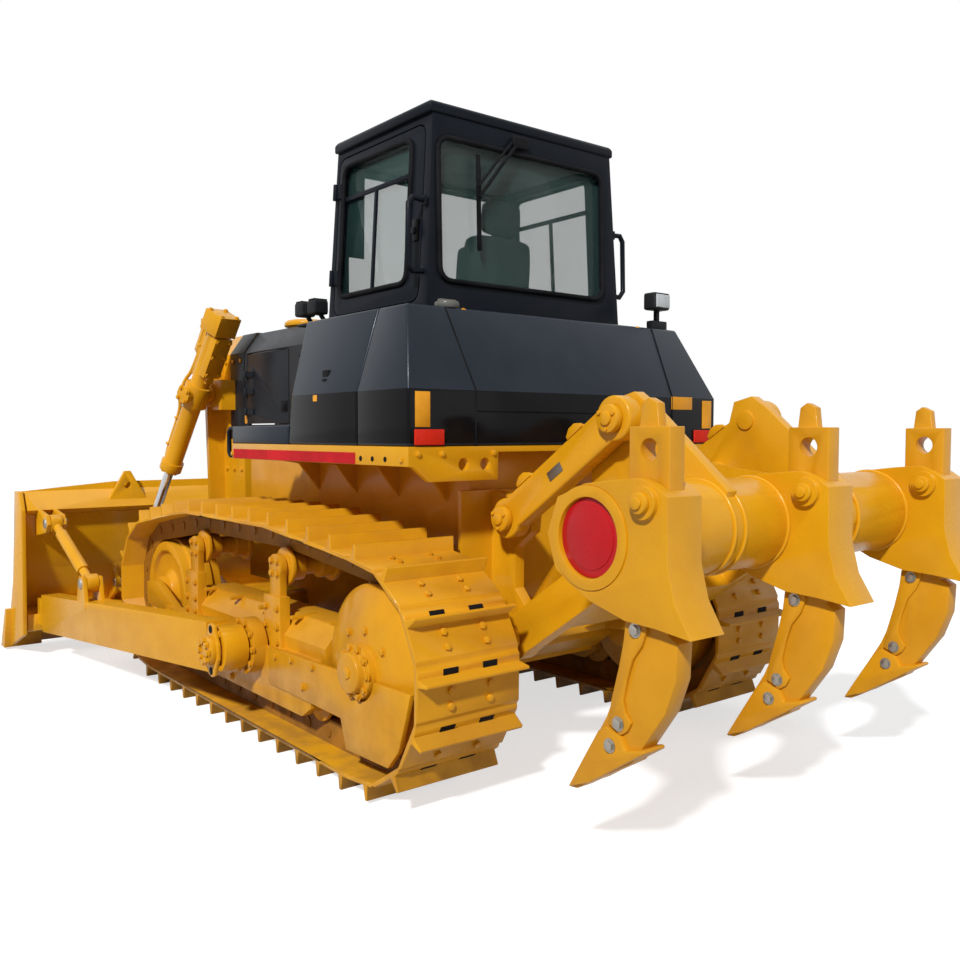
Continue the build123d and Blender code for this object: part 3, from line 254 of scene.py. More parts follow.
# --------------------------------------------------------------------- finishes
@dataclass(frozen=True)
class Enamel:
    """Machine paint: a colour that drifts a little, dust where it faces up, grime low down and scuffs."""

    name: str
    colour: Point
    shade: Point
    roughness: float = 0.34
    coat: float = 0.10
    metallic: float = 0.0
    specular: float = 0.18
    dust: float = 0.05
    dust_colour: Point = (0.60, 0.36, 0.09)
    grime: float = 0.08
    grime_below: float = 0.7      # height that the grime reaches, in metres
    grime_colour: Point = (0.16, 0.075, 0.015)
    bare: float = 0.0
    bare_colour: Point = (0.30, 0.29, 0.28)
    peel: float = 0.05            # how far the paint's skin ripples
    coat_roughness: float = 0.12

    def make(self) -> Material:
        """Builds the material.

        Returns:
            The paint.
        """
        g = Graph(self.name)
        broad = g.noise(1.1, 3.0)
        middle = g.noise(7.0, 4.0, shift=3.1)
        fine = g.noise(60.0, 2.0, shift=7.7)
        colour = g.mix((broad * 0.7 + middle * 0.5 - 0.1).smooth(0.3, 0.75), self.colour, self.shade)
        height = g.part(g.place(), "Z")
        low = 1.0 - height.smooth(0.0, self.grime_below)
        dirt = (low * self.grime * middle.smooth(0.35, 0.7) * 1.6).clamped()
        colour = g.mix(dirt, colour, self.grime_colour)
        settled = g.upward().smooth(0.35, 0.95) * (middle * 0.6 + fine * 0.5).smooth(0.35, 0.75) * self.dust * 2.0
        colour = g.mix(settled.clamped(), colour, self.dust_colour)
        streak = g.noise(14.0, 3.0, stretch=(1.0, 1.0, 0.12), shift=1.9).smooth(0.62, 0.8) * 0.08
        colour = g.mix(streak, colour, self.shade)
        rough = fine * 0.10 + middle * 0.12 + (self.roughness - 0.11) + settled * 0.8 + dirt * 0.3
        metal: Signal | float = self.metallic
        if self.bare:
            patches = g.noise(9.0, 6.0, shift=5.3) * 0.75 + fine * 0.3 + low * 0.12
            worn = (patches - (0.82 - self.bare * 0.4)).smooth(0.0, 0.05)
            colour = g.mix(worn, colour, self.bare_colour)
            metal = worn * 0.8 + self.metallic
            rough = rough + worn * 0.12
        skin = g.noise(160.0, 1.0) * 0.6 + middle * 0.4
        return g.surface({
            "Base Color": colour, "Roughness": rough.clamped(), "Metallic": metal, "Coat Weight": self.coat,
            "Specular IOR Level": self.specular, "Coat Roughness": self.coat_roughness,
            "Normal": g.bump(skin, self.peel * 4, 0.0009)})


@dataclass(frozen=True)
class Steel:
    """Bare or plated metal, with fine drawn lines and a few stains."""

    name: str
    colour: Point
    roughness: float
    stain: Point = (0.20, 0.13, 0.08)
    stained: float = 0.1

    def make(self) -> Material:
        """Builds the material."""
        g = Graph(self.name)
        lines = g.noise(220.0, 2.0, stretch=(1.0, 1.0, 0.15))
        cloud = g.noise(6.0, 4.0, shift=2.3)
        mark = cloud.smooth(0.66 - self.stained * 0.4, 0.78) * self.stained * 4
        return g.surface({
            "Base Color": g.mix(mark.clamped(), self.colour, self.stain), "Metallic": (1.0 - mark * 0.6).clamped(),
            "Roughness": (lines * 0.12 + cloud * 0.1 + (self.roughness - 0.1) + mark * 0.3).clamped(),
            "Normal": g.bump(lines, 0.12, 0.0004)})


@dataclass(frozen=True)
class Moulded:
    """Rubber, plastic or fabric: a matt colour with a fine grain."""

    name: str
    colour: Point
    roughness: float = 0.6
    grain: float = 300.0
    depth: float = 0.3
    spread: float = 0.35
    specular: float = 0.25

    def make(self) -> Material:
        """Builds the material."""
        g = Graph(self.name)
        grain = g.noise(self.grain, 2.0)
        cloud = g.noise(5.0, 4.0, shift=4.0)
        pale = tuple(min(1.0, c * (1 + self.spread) + 0.006) for c in self.colour)
        return g.surface({
            "Base Color": g.mix(cloud.smooth(0.35, 0.7), self.colour, pale),
            "Roughness": (grain * 0.15 + cloud * 0.12 + (self.roughness - 0.13)).clamped(),
            "Specular IOR Level": self.specular, "Normal": g.bump(grain, self.depth, 0.0006)})


@dataclass(frozen=True)
class Pane:
    """Tinted glass with a faint film of dust."""

    name: str
    colour: Point = (0.045, 0.115, 0.100)
    film_colour: Point = (0.20, 0.23, 0.22)
    cover: float = 0.25

    def make(self) -> Material:
        """Builds the material."""
        g = Graph(self.name)
        film = g.noise(5.0, 5.0).smooth(0.45, 0.8)
        return g.surface({
            "Base Color": g.mix(film * 0.15, self.colour, self.film_colour), "Roughness": film * 0.06 + 0.02,
            "Alpha": self.cover, "Specular IOR Level": 0.5, "IOR": 1.5})


@dataclass(frozen=True)
class Reflector:
    """Moulded prismatic plastic."""

    name: str
    colour: Point
    cells: float = 90.0

    def make(self) -> Material:
        """Builds the material."""
        g = Graph(self.name)
        cells = g.node("ShaderNodeTexVoronoi", {}, {"Vector": g.place(), "Scale": self.cells}, "Distance")
        cloud = g.noise(25.0, 2.0)
        dark = tuple(c * 0.6 for c in self.colour)
        return g.surface({
            "Base Color": g.mix(cells * 0.5 + cloud * 0.3, self.colour, dark), "Roughness": cloud * 0.1 + 0.16,
            "Specular IOR Level": 0.06, "Normal": g.bump(cells, 0.2, 0.0008)})


class Palette:
    """Every finish on the machine."""

    def __init__(self) -> None:
        """Makes the materials."""
        self.yellow = Enamel("machine_yellow", (0.70, 0.335, 0.007), (0.63, 0.283, 0.005), 0.29, specular=0.22).make()
        self.frame_yellow = Enamel("undercarriage_yellow", (0.66, 0.305, 0.008), (0.54, 0.230, 0.006), 0.32, 0.08,
                                   grime=0.22, dust=0.08).make()
        self.track = Enamel("track_yellow", (0.67, 0.312, 0.008), (0.56, 0.238, 0.007), 0.36, dust=0.08, grime=0.3,
                            grime_below=0.4, bare=0.10, bare_colour=(0.30, 0.17, 0.06), peel=0.08).make()
        # Painted shade: the chain is the shoes' yellow drawn darker, for the shade that falls on it between the shoes
        # and the frame; grime and dust come on top.
        self.chain = Enamel("chain_yellow_painted_shade", (0.34, 0.135, 0.008), (0.20, 0.085, 0.010), 0.5, 0.0, specular=0.2,
                            grime=0.4, dust=0.1).make()
        self.tooth = Enamel("ripper_yellow", (0.66, 0.305, 0.010), (0.55, 0.235, 0.008), grime=0.15, bare=0.16,
                            bare_colour=(0.42, 0.27, 0.12), grime_below=0.6).make()
        self.slate = Enamel("slate_satin", (0.013, 0.018, 0.027), (0.018, 0.024, 0.034), 0.34, 0.06, 0.15, 0.14,
                            dust=0.03, dust_colour=(0.10, 0.11, 0.12), grime=0.0).make()
        self.gloss = Enamel("gloss_black", (0.005, 0.005, 0.006), (0.008, 0.008, 0.009), 0.14, 0.02, specular=0.07,
                            dust=0.02, dust_colour=(0.06, 0.06, 0.06), grime=0.0, peel=0.03).make()
        self.cab = Enamel("cab_black", (0.006, 0.008, 0.012), (0.010, 0.012, 0.017), 0.40, 0.02, specular=0.05,
                          dust=0.03, dust_colour=(0.06, 0.065, 0.07), grime=0.0).make()
        self.hood = Enamel("hood_black", (0.009, 0.011, 0.015), (0.014, 0.017, 0.021), 0.38, 0.04, specular=0.12,
                           dust_colour=(0.09, 0.10, 0.11), grime=0.0).make()
        self.engine = Enamel("engine_grey", (0.12, 0.12, 0.11), (0.08, 0.08, 0.08), 0.5, dust=0.1, grime=0.2).make()
        self.disc = Enamel("disc_red", (0.52, 0.008, 0.014), (0.44, 0.006, 0.010), 0.3, dust=0.02, grime=0.0).make()
        self.chrome = Steel("plated_rod", (0.62, 0.62, 0.62), 0.14, stained=0.03).make()
        self.steel = Steel("zinc_bolt", (0.42, 0.40, 0.36), 0.38, stained=0.12).make()
        self.iron = Steel("worn_iron", (0.20, 0.18, 0.16), 0.5, stained=0.2).make()
        self.lining = Moulded("cab_lining", (0.16, 0.17, 0.17), 0.7, 240.0).make()
        self.rubber = Moulded("rubber_seal", (0.004, 0.004, 0.005), 0.62, specular=0.06).make()
        self.plastic = Moulded("console_plastic", (0.010, 0.011, 0.012), 0.55, specular=0.12).make()
        self.cloth = Moulded("seat_cloth", (0.016, 0.020, 0.022), 0.85, 900.0, 0.6).make()
        self.red = Moulded("red_stripe", (0.44, 0.003, 0.008), 0.62, 200.0, 0.1).make()
        self.amber = Moulded("amber_plate", (0.64, 0.27, 0.010), 0.4, 500.0, 0.1).make()
        self.pane = Pane("tinted_pane").make()
        self.lens = Reflector("red_reflector", (0.74, 0.030, 0.014)).make()
        self.lamp = Reflector("lamp_glass", (0.62, 0.66, 0.68), 120.0).make()


# --------------------------------------------------------------------- workbench
class Bench:
    """Makes meshes with Blender's own tools and hands them to the frame."""

    bevel_angle: float = 28.0     # edges sharper than this are rounded, in degrees
    smooth_angle: float = 32.0    # edges sharper than this stay crisp in the shading
    weld: float = 0.0001          # corners nearer than this are one corner
    flat_angle: float = 2.0       # triangles that meet flatter than this are one face

    def __init__(self) -> None:
        """Counts what has been made."""
        self.count = 0

    def clear(self) -> None:
        """Leaves object mode with nothing selected."""
        if bpy.context.object and bpy.context.object.mode != "OBJECT":
            bpy.ops.object.mode_set(mode="OBJECT")
        for obj in bpy.context.view_layer.objects:
            obj.select_set(False)

    def hold(self, obj: Object) -> Object:
        """Selects one object alone and makes it active."""
        self.clear()
        obj.select_set(True)
        bpy.context.view_layer.objects.active = obj
        return obj

    def settle(self, obj: Object) -> Object:
        """Puts an object's place into its mesh."""
        self.hold(obj)
        bpy.ops.object.transform_apply(location=True, rotation=True, scale=True)
        return obj

    def cube(self, low: Vector, high: Vector) -> Object:
        """A sharp box between two corners."""
        self.clear()
        bpy.ops.mesh.primitive_cube_add(size=1, location=(Vector(low) + Vector(high)) / 2)
        bpy.context.object.scale = [abs(high[i] - low[i]) for i in range(3)]
        return self.settle(bpy.context.object)

    def box(self, low: Vector, high: Vector, edge: float = 0.004, rings: int = 2) -> Object:
        """A box with rounded edges.

        Args:
            low: one corner.
            high: the opposite corner.
            edge: radius of the edges.
            rings: segments round each edge.

        Returns:
            The box.
        """
        thinnest = min(Vector(abs(high[i] - low[i]) for i in range(3)))
        return self.round_edges(self.cube(low, high), min(edge, thinnest * 0.45), rings)

    def round_edges(self, obj: Object, width: float, rings: int = 2) -> Object:
        """Rounds the sharp edges with an applied bevel."""
        if width > 0:
            self.hold(obj)
            tool = obj.modifiers.new("edge", "BEVEL")
            tool.width, tool.segments, tool.limit_method = width, rings, "ANGLE"
            tool.angle_limit = math.radians(self.bevel_angle)
            bpy.ops.object.modifier_apply(modifier="edge")
        return self.shade(obj)

    def shade(self, obj: Object, angle: float = smooth_angle) -> Object:
        """Smooth shading, split at sharp edges."""
        self.hold(obj)
        bpy.ops.object.shade_smooth_by_angle(angle=math.radians(angle))
        return obj

    def rod(self, start: Vector, end: Vector, radius: float, sides: int = 24, edge: float = 0.003) -> Object:
        """A round bar with softened ends.

        Args:
            start: middle of one end.
            end: middle of the other.
            radius: the bar's radius.
            sides: faces round it.
            edge: radius of the end edges.

        Returns:
            The bar.
        """
        self.clear()
        line = Vector(end) - Vector(start)
        bpy.ops.mesh.primitive_cylinder_add(vertices=sides, radius=radius, depth=line.length)
        obj = bpy.context.object
        turn = line.to_track_quat("Z", "Y").to_matrix().to_4x4()
        obj.matrix_world = Matrix.Translation((Vector(start) + Vector(end)) / 2) @ turn
        self.settle(obj)
        return self.round_edges(obj, min(edge, radius * 0.4))

    def sheet_metal(self, outline: Sequence[Vector], push: Vector, edge: float = 0.003) -> Object:
        """A plate: an outline, filled, then extruded.

        Args:
            outline: corners in order.
            push: how far and which way the plate is thick.
            edge: radius of its edges.

        Returns:
            The plate.
        """
        self.clear()
        bpy.ops.mesh.primitive_circle_add(vertices=len(outline), fill_type="NGON")
        obj = bpy.context.object
        for vertex, corner in zip(obj.data.vertices, outline):
            vertex.co = corner
        bpy.ops.object.mode_set(mode="EDIT")
        bpy.ops.mesh.select_all(action="SELECT")
        bpy.ops.mesh.extrude_region_move(TRANSFORM_OT_translate={"value": push})
        bpy.ops.mesh.select_all(action="SELECT")
        bpy.ops.mesh.normals_make_consistent(inside=False)
        bpy.ops.object.mode_set(mode="OBJECT")
        return self.round_edges(obj, edge)

    def tube(self, points: Sequence[Vector], radius: float, sides: int = 10, soft: bool = False) -> Object:
        """A bent round bar through points.

        Args:
            points: the bar's line.
            radius: its radius.
            sides: faces round it.
            soft: rounds the corners.

        Returns:
            The bar, as a mesh.
        """
        self.clear()
        curve = bpy.data.curves.new("line", "CURVE")
        curve.dimensions, curve.use_fill_caps = "3D", True
        curve.bevel_depth, curve.bevel_resolution = radius, max(1, sides // 4)
        spline = curve.splines.new("NURBS" if soft else "POLY")
        spline.points.add(len(points) - 1)
        for target, place in zip(spline.points, points):
            target.co = (*place, 1.0)
        if soft:
            spline.order_u, spline.use_endpoint_u, spline.resolution_u = 3, True, 6
        obj = bpy.data.objects.new("line", curve)
        bpy.context.collection.objects.link(obj)
        self.hold(obj)
        bpy.ops.object.convert(target="MESH")
        return self.shade(bpy.context.object, 50)

    def join(self, pieces: Iterable[Object]) -> Object:
        """Makes one object of several."""
        pieces = list(pieces)
        self.hold(pieces[0])
        for piece in pieces:
            piece.select_set(True)
        if len(pieces) > 1:
            bpy.ops.object.join()
        return bpy.context.object

    def scattered(self, master: Object, places: Sequence[Matrix]) -> Object:
        """Copies a small piece to many places, as one mesh, and removes the master.

        Args:
            master: the piece, modelled at the origin.
            places: where each copy goes.

        Returns:
            All copies, joined.
        """
        source = master.data
        verts = np.empty(len(source.vertices) * 3)
        source.vertices.foreach_get("co", verts)
        verts = verts.reshape(-1, 3)
        faces = [tuple(p.vertices) for p in source.polygons]
        points, polygons = [], []
        for i, place in enumerate(places):
            turn = np.array(place.to_3x3())
            points.append(verts @ turn.T + np.array(place.translation))
            polygons += [tuple(v + i * len(verts) for v in face) for face in faces]
        mesh = bpy.data.meshes.new("set")
        mesh.from_pydata([tuple(p) for p in np.concatenate(points)], [], polygons)
        obj = bpy.data.objects.new("set", mesh)
        bpy.context.collection.objects.link(obj)
        bpy.data.objects.remove(master)
        return self.shade(obj)

    def bolt(self, radius: float, height: float, washer: bool = True) -> Object:
        """A hexagon bolt head on its washer, standing on the origin along Z.

        Args:
            radius: half the width across the corners.
            height: height of the head.
            washer: whether a washer lies under it.

        Returns:
            The bolt.
        """
        self.clear()
        bpy.ops.mesh.primitive_cylinder_add(vertices=6, radius=radius, depth=height, location=(0, 0, height / 2))
        head = self.settle(bpy.context.object)
        bpy.ops.object.mode_set(mode="EDIT")
        bpy.ops.mesh.select_all(action="DESELECT")
        bpy.ops.object.mode_set(mode="OBJECT")
        for face in head.data.polygons:
            face.select = face.normal.z > 0.9
        bpy.ops.object.mode_set(mode="EDIT")
        bpy.ops.mesh.inset(thickness=radius * 0.22, depth=height * 0.12)
        bpy.ops.object.mode_set(mode="OBJECT")
        if not washer:
            return head
        bpy.ops.mesh.primitive_cylinder_add(
            vertices=12, radius=radius * 1.35, depth=height * 0.25, location=(0, 0, height * 0.125))
        return self.join([head, self.settle(bpy.context.object)])

    def finish(self, obj: Object, name: str, material: Material, body: str) -> Object:
        """Names a piece, paints it and hands it to a body.

        Args:
            obj: the piece, in place.
            name: its name.
            material: its finish, set in the mesh's material slot.
            body: the CAD body that it moves with.

        Returns:
            The piece.
        """
        obj.name = obj.data.name = name
        if not obj.data.materials:
            obj.data.materials.append(material)
        elif len(obj.data.materials) == 1:
            obj.data.materials[0] = material
        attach(obj, body)
        self.count += 1
        LOG.info("%s on %s: %d faces", name, body, len(obj.data.polygons))
        return obj

    def dressed(self, node: str, material: Material, edge: float, rings: int = 2, merge: bool = True) -> Object:
        """A softened copy of a CAD node that stands for it.

        Args:
            node: the node's name.
            material: its finish.
            edge: radius of its edges.
            rings: segments round each edge.
            merge: joins flat triangles into faces; off for a closed belt, whose edge would become one ring.

        Returns:
            The copy.
        """
        source = frame["nodes"][node]
        obj = bpy.data.objects.new(node + "_form", source.data.copy())
        bpy.context.collection.objects.link(obj)
        obj.matrix_world = source.matrix_world.copy()
        obj.data.materials.clear()
        self.settle(obj)
        bpy.ops.object.mode_set(mode="EDIT")
        bpy.ops.mesh.select_all(action="SELECT")
        bpy.ops.mesh.remove_doubles(threshold=self.weld)
        if merge:
            bpy.ops.mesh.dissolve_limited(angle_limit=math.radians(self.flat_angle))
        bpy.ops.object.mode_set(mode="OBJECT")
        self.round_edges(obj, edge, rings)
        self.finish(obj, node + "_form", material, NODE_BODY[node])
        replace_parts(obj, node)
        return obj


def facing(place: Vector, normal: Vector, spin: float = 0.0) -> Matrix:
    """A placement with Z along a normal.

    Args:
        place: where the origin goes.
        normal: where Z points.
        spin: turn about it, in degrees.

    Returns:
        The placement.
    """
    turn = Vector(normal).to_track_quat("Z", "Y").to_matrix().to_4x4()
    return Matrix.Translation(place) @ turn @ Matrix.Rotation(math.radians(spin), 4, "Z")


def circle(middle: Vector, normal: Vector, radius: float, count: int, start: float = 0.0) -> list[Matrix]:
    """Placements evenly round a circle."""
    base = facing(middle, normal)
    return [base @ Matrix.Rotation(start + i * 2 * math.pi / count, 4, "Z") @ Matrix.Translation((radius, 0, 0))
            for i in range(count)]


# --------------------------------------------------------------------- trim
class Part:
    """One part of a piece of trim."""

    def make(self, bench: Bench, side: int) -> Object:
        """Makes the part.

        Args:
            bench: makes the mesh.
            side: 1 as it is written, on the left, or -1 mirrored to the right.

        Returns:
            The part's mesh.
        """
        raise NotImplementedError


@dataclass(frozen=True)
class Block(Part):
    """A box between two corners in millimetres, its edges rounded by metres."""

    low: Point
    high: Point
    edge: float = 0.004
    rings: int = 2

    def make(self, bench: Bench, side: int) -> Object:
        """Makes the box."""
        return bench.box(mirrored(self.low, side), mirrored(self.high, side), self.edge, self.rings)


@dataclass(frozen=True)
class Bar(Part):
    """A round bar between two places in millimetres; radius and edge in metres."""

    start: Point
    end: Point
    radius: float
    sides: int = 24
    edge: float = 0.003

    def make(self, bench: Bench, side: int) -> Object:
        """Makes the bar."""
        return bench.rod(mirrored(self.start, side), mirrored(self.end, side), self.radius, self.sides, self.edge)


@dataclass(frozen=True)
class Pipe(Part):
    """A bent round bar through places in millimetres, its radius in metres."""

    places: tuple[Point, ...]
    radius: float
    sides: int

    def make(self, bench: Bench, side: int) -> Object:
        """Makes the bent bar."""
        return bench.tube([mirrored(place, side) for place in self.places], self.radius, self.sides)


@dataclass(frozen=True)
class Plate(Part):
    """An upright plate: its corners, its place and its thickness outwards in millimetres, its edges in metres."""

    corners: Outline
    out: float
    thick: float
    edge: float = 0.003

    def make(self, bench: Bench, side: int) -> Object:
        """Makes the plate."""
        push = Vector((0, side * self.thick / 1000, 0))
        return bench.sheet_metal(profile(self.corners, side * self.out), push, self.edge)


class Trim:
    """A piece made of a few parts; where its name has {} it is made on both sides, with the side in its place."""

    def __init__(self, name: str, finish: str, *parts: Part, body: str = "chassis") -> None:
        """Notes what the piece is.

        Args:
            name: the piece's name.
            finish: its finish in the palette.
            parts: what it is made of.
            body: the CAD body that it moves with.
        """
        self.name, self.finish, self.parts, self.body = name, finish, parts, body


@dataclass
class Assembly:
    """A group of pieces, with the bench and the finishes that make it."""

    bench: Bench
    paint: Palette

    def put(self, pieces: Object | list[Object], name: str, material: Material, body: str = "chassis") -> Object:
        """Joins meshes into one finished piece.

        Args:
            pieces: a mesh or a list of them.
            name: the piece's name.
            material: its finish.
            body: the CAD body that it moves with.

        Returns:
            The piece.
        """
        obj = self.bench.join(pieces) if isinstance(pieces, list) else pieces
        return self.bench.finish(obj, name, material, body)

    def bolts(self, size: Pair, places: Sequence[Matrix], name: str, material: Material, body: str = "chassis",
              washer: bool = True) -> None:
        """Hexagon heads at many places, as one piece.

        Args:
            size: radius and height of a head, in metres.
            places: where they sit.
            name: the piece's name.
            material: its finish.
            body: the CAD body that it moves with.
            washer: whether each has a washer.
        """
        self.put(self.bench.scattered(self.bench.bolt(*size, washer), places), name, material, body)

    def dress(self, forms: Iterable[tuple[str, str, float, int]]) -> None:
        """Softens CAD nodes: each one's name, finish, radius of edges and segments round them."""
        for node, finish, edge, rings in forms:
            self.bench.dressed(node, getattr(self.paint, finish), edge, rings)

    def fit(self, trims: Iterable[Trim]) -> None:
        """Makes pieces of trim, on one side or both."""
        for trim in trims:
            for side, name in SIDES if "{}" in trim.name else ((1, ""),):
                parts = [part.make(self.bench, side) for part in trim.parts]
                self.put(parts, trim.name.format(name), getattr(self.paint, trim.finish), trim.body.format(name))


# --------------------------------------------------------------------- crawler tracks
@dataclass
class Tracks(Assembly):
    """Both crawler tracks: shoes with their bolts and slots, and the pins of the chain. Sizes in metres."""

    pitch: float = 0.216
    count: int = 38
    gauge: float = 2.0
    shoe_face: float = 0.082    # outer face of a shoe's plate, out from the line of pins
    chain_face: float = 0.062   # a face further out than this belongs to a shoe
    pin_low: float = 0.150
    sprocket: float = 0.434
    idler: float = 0.423
    carrier: float = 0.156
    carrier_x: Pair = (0.935, 2.050)
    carrier_rise: float = 1.108
    rail: float = 0.095
    rail_width: float = 0.054
    bolt_out: float = 0.012     # bolts and slots from the middle of a rail
    slot_at: float = 0.020      # from a link's first pin
    slot_half: Point = (0.014, 0.040, 0.002)
    bolts_at: Pair = (0.106, 0.172)
    bolt_size: Pair = (0.017, 0.014)
    boss: Pair = (0.029, 0.012)   # radius and depth of a pin's boss
    skin: float = 0.001         # how far a bolt sinks in and a slot stands out

    def outward(self, face: bpy.types.MeshPolygon, links: list[tuple[Vector, Vector, Vector]]) -> bool:
        """Whether a face lies beyond the chain, on the shoes.

        Args:
            face: a face of the loop.
            links: the chain's links.

        Returns:
            True for faces of the shoes.
        """
        middle = Vector((face.center.x, 0, face.center.z))
        start, _, out = min(links, key=lambda link: (link[0] + link[1] * (self.pitch / 2) - middle).length)
        return (middle - start).dot(out) > self.chain_face

    def belt(self) -> list[tuple[Vector, Vector, Vector]]:
        """Each link's first pin, with the direction along the link and out of the loop.

        Returns:
            One place and two directions for each link.
        """
        low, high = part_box("idlers")
        idler_x = (low[0] + high[0]) / 2 - AXLE_TO_ORIGIN
        circles = [(0.0, self.pin_low + self.sprocket, self.sprocket), (idler_x, self.pin_low + self.idler, self.idler)]
        circles += [(x, self.carrier_rise - self.carrier, self.carrier) for x in reversed(self.carrier_x)]
        angles = []
        for (x1, z1, r1), (x2, z2, r2) in zip(circles, circles[1:] + circles[:1]):
            lean = math.asin((r1 - r2) / math.hypot(x2 - x1, z2 - z1))
            angles.append(math.atan2(z2 - z1, x2 - x1) - math.pi / 2 + lean)
        line = []
        for i, (x, z, r) in enumerate(circles):
            start, end = angles[i - 1], angles[i]
            line.append(("arc", x, z, r, start, ((end - start) % (2 * math.pi)) * r))
            x2, z2, r2 = circles[(i + 1) % len(circles)]
            run = math.hypot(x2 - x + (r2 - r) * math.cos(end), z2 - z + (r2 - r) * math.sin(end))
            line.append(("run", x + r * math.cos(end), z + r * math.sin(end), r, end, run))
        pins = []
        for i in range(self.count):
            left = (i + 0.5) * self.pitch
            for kind, x, z, r, angle, length in line:
                if left <= length:
                    break
                left -= length
            if kind == "arc":
                angle += left / r
                pins.append((x + r * math.cos(angle), z + r * math.sin(angle)))
            else:
                pins.append((x - left * math.sin(angle), z + left * math.cos(angle)))
        links = []
        for (x, z), (x2, z2) in zip(pins, pins[1:] + pins[:1]):
            along = Vector((x2 - x, 0, z2 - z)).normalized()
            links.append((Vector((x + AXLE_TO_ORIGIN, 0, z)), along, Vector((along.z, 0, -along.x))))
        return links

    def build(self) -> None:
        """Dresses the loops and adds the shoes' bolts and slots and the bosses of the pins."""
        bench, paint, links = self.bench, self.paint, self.belt()
        spread = self.rail + self.bolt_out
        for side, name in SIDES:
            form = bench.dressed("track_" + name, paint.track, 0.004, 1, merge=False)
            y = side * self.gauge / 2
            # The faces of the chain between the shoes take the darkened chain yellow: painted shade.
            form.data.materials.append(paint.chain)
            for face in form.data.polygons:
                inner = abs(face.center.y - y) < 1.5 * self.rail
                face.material_index = int(inner and (abs(face.normal.y) > 0.9 or not self.outward(face, links)))
            bolts, slots = [], []
            for start, along, out in links:
                for offset in (-spread, spread):
                    place = start + along * self.slot_at + out * (self.shoe_face + self.skin)
                    turn = Matrix((along, Turn.LEFT.vector, out)).transposed().to_4x4()
                    slots.append(Matrix.Translation(place + Vector((0, y + offset, 0))) @ turn)
                for reach in self.bolts_at:
                    for offset in (-spread, spread):
                        place = start + along * reach + out * (self.shoe_face - self.skin)
                        bolts.append(facing(place + Vector((0, y + offset, 0)), out, 15))
            self.bolts(self.bolt_size, bolts, f"shoe_bolts_{name}", paint.track, washer=False)
            # Each slot is a black box on the shoe's face: painted shade that stands for the dark inside of the hole.
            hole = bench.box(-Vector(self.slot_half), Vector(self.slot_half), 0.0015, 1)
            self.put(bench.scattered(hole, slots), f"shoe_slots_painted_shade_{name}", paint.rubber)
            pins = []
            for start, _, _ in links:
                for face in (-1, 1):
                    for rail in (-1, 1):
                        across = y + rail * self.rail + face * self.rail_width / 2
                        pins.append(facing(start + Vector((0, across, 0)), Vector((0, face, 0))))
            bench.clear()
            bpy.ops.mesh.primitive_cylinder_add(vertices=12, radius=self.boss[0], depth=self.boss[1])
            boss = bench.settle(bpy.context.object)
            # The pin bosses take the darkened chain yellow too: painted shade.
            self.put(bench.scattered(boss, pins), f"chain_pins_{name}", paint.chain)


@dataclass
class Undercarriage(Assembly):
    """Roller frames, final drives, idlers and rollers. Sizes in millimetres from the sprocket axle."""

    axle_z: float = 584.0
    hub_face: float = 1277.0
    dome_in: float = 45.0           # from the hub's face in to the dome's
    skirt_out: float = 1262.0
    frame_out: float = 1250.0
    trunnion: Pair = (1100.0, 515.0)
    trunnion_face: float = 1320.0
    carriers: Pair = (935.0, 2050.0)
    carrier_z: float = 952.0
    carrier_cap: float = 1205.0
    post_out: float = 1225.0
    bolt_size: Pair = (0.017, 0.013)
    dome_bolts: Outline = ((118, 742), (-25, 770), (-170, 700))
    skirt_bolts: Outline = ((420, 520), (640, 515), (520, 400), (820, 500))
    NODES = ("final_drives", "idlers", "rollers", "track_frames", "hull", "equalizer_bar")
    TRIMS = (Trim(
        "frame_covers_{}", "frame_yellow", Bar((0, 1315, 584), (0, 1325, 584), 0.030, 6),
        Plate(((500, 698), (2050, 698), (2050, 706), (500, 706)), 1120, -180),
        *(Block((x, 1040, 690), (x + 26, 1196, 712), 0.005) for x in (760, 1140, 1520, 1900))),)

    def build(self) -> None:
        """Dresses the castings and adds their bolts, plugs and covers."""
        self.dress((node, "frame_yellow", 0.006, 2) for node in self.NODES)
        for side, name in SIDES:
            out = Vector((0, side, 0))
            groups = (  # corners by x and z, and how far out they lie
                (self.dome_bolts, self.hub_face - self.dome_in),
                ([(x + dx, z) for x in self.carriers for dx in (-65, 65) for z in (560, 640, 740)], self.post_out),
                (self.skirt_bolts, self.skirt_out),
                ([(x, z) for x in (1400, 1750, 2100, 2400) for z in (275, 500)], self.frame_out))
            bolts = [facing(spot(x, side * reach, z), out) for corners, reach in groups for x, z in corners]
            bolts += circle(spot(0, side * self.hub_face, self.axle_z), out, 0.111, 10)
            for x in self.carriers:
                bolts += circle(spot(x, side * self.carrier_cap, self.carrier_z), out, 0.048, 4, 0.785)
            x, z = self.trunnion
            bolts += circle(spot(x, side * self.trunnion_face, z), out, 0.135, 10)
            self.bolts(self.bolt_size, bolts, f"frame_bolts_{name}", self.paint.frame_yellow)
        self.fit(self.TRIMS)


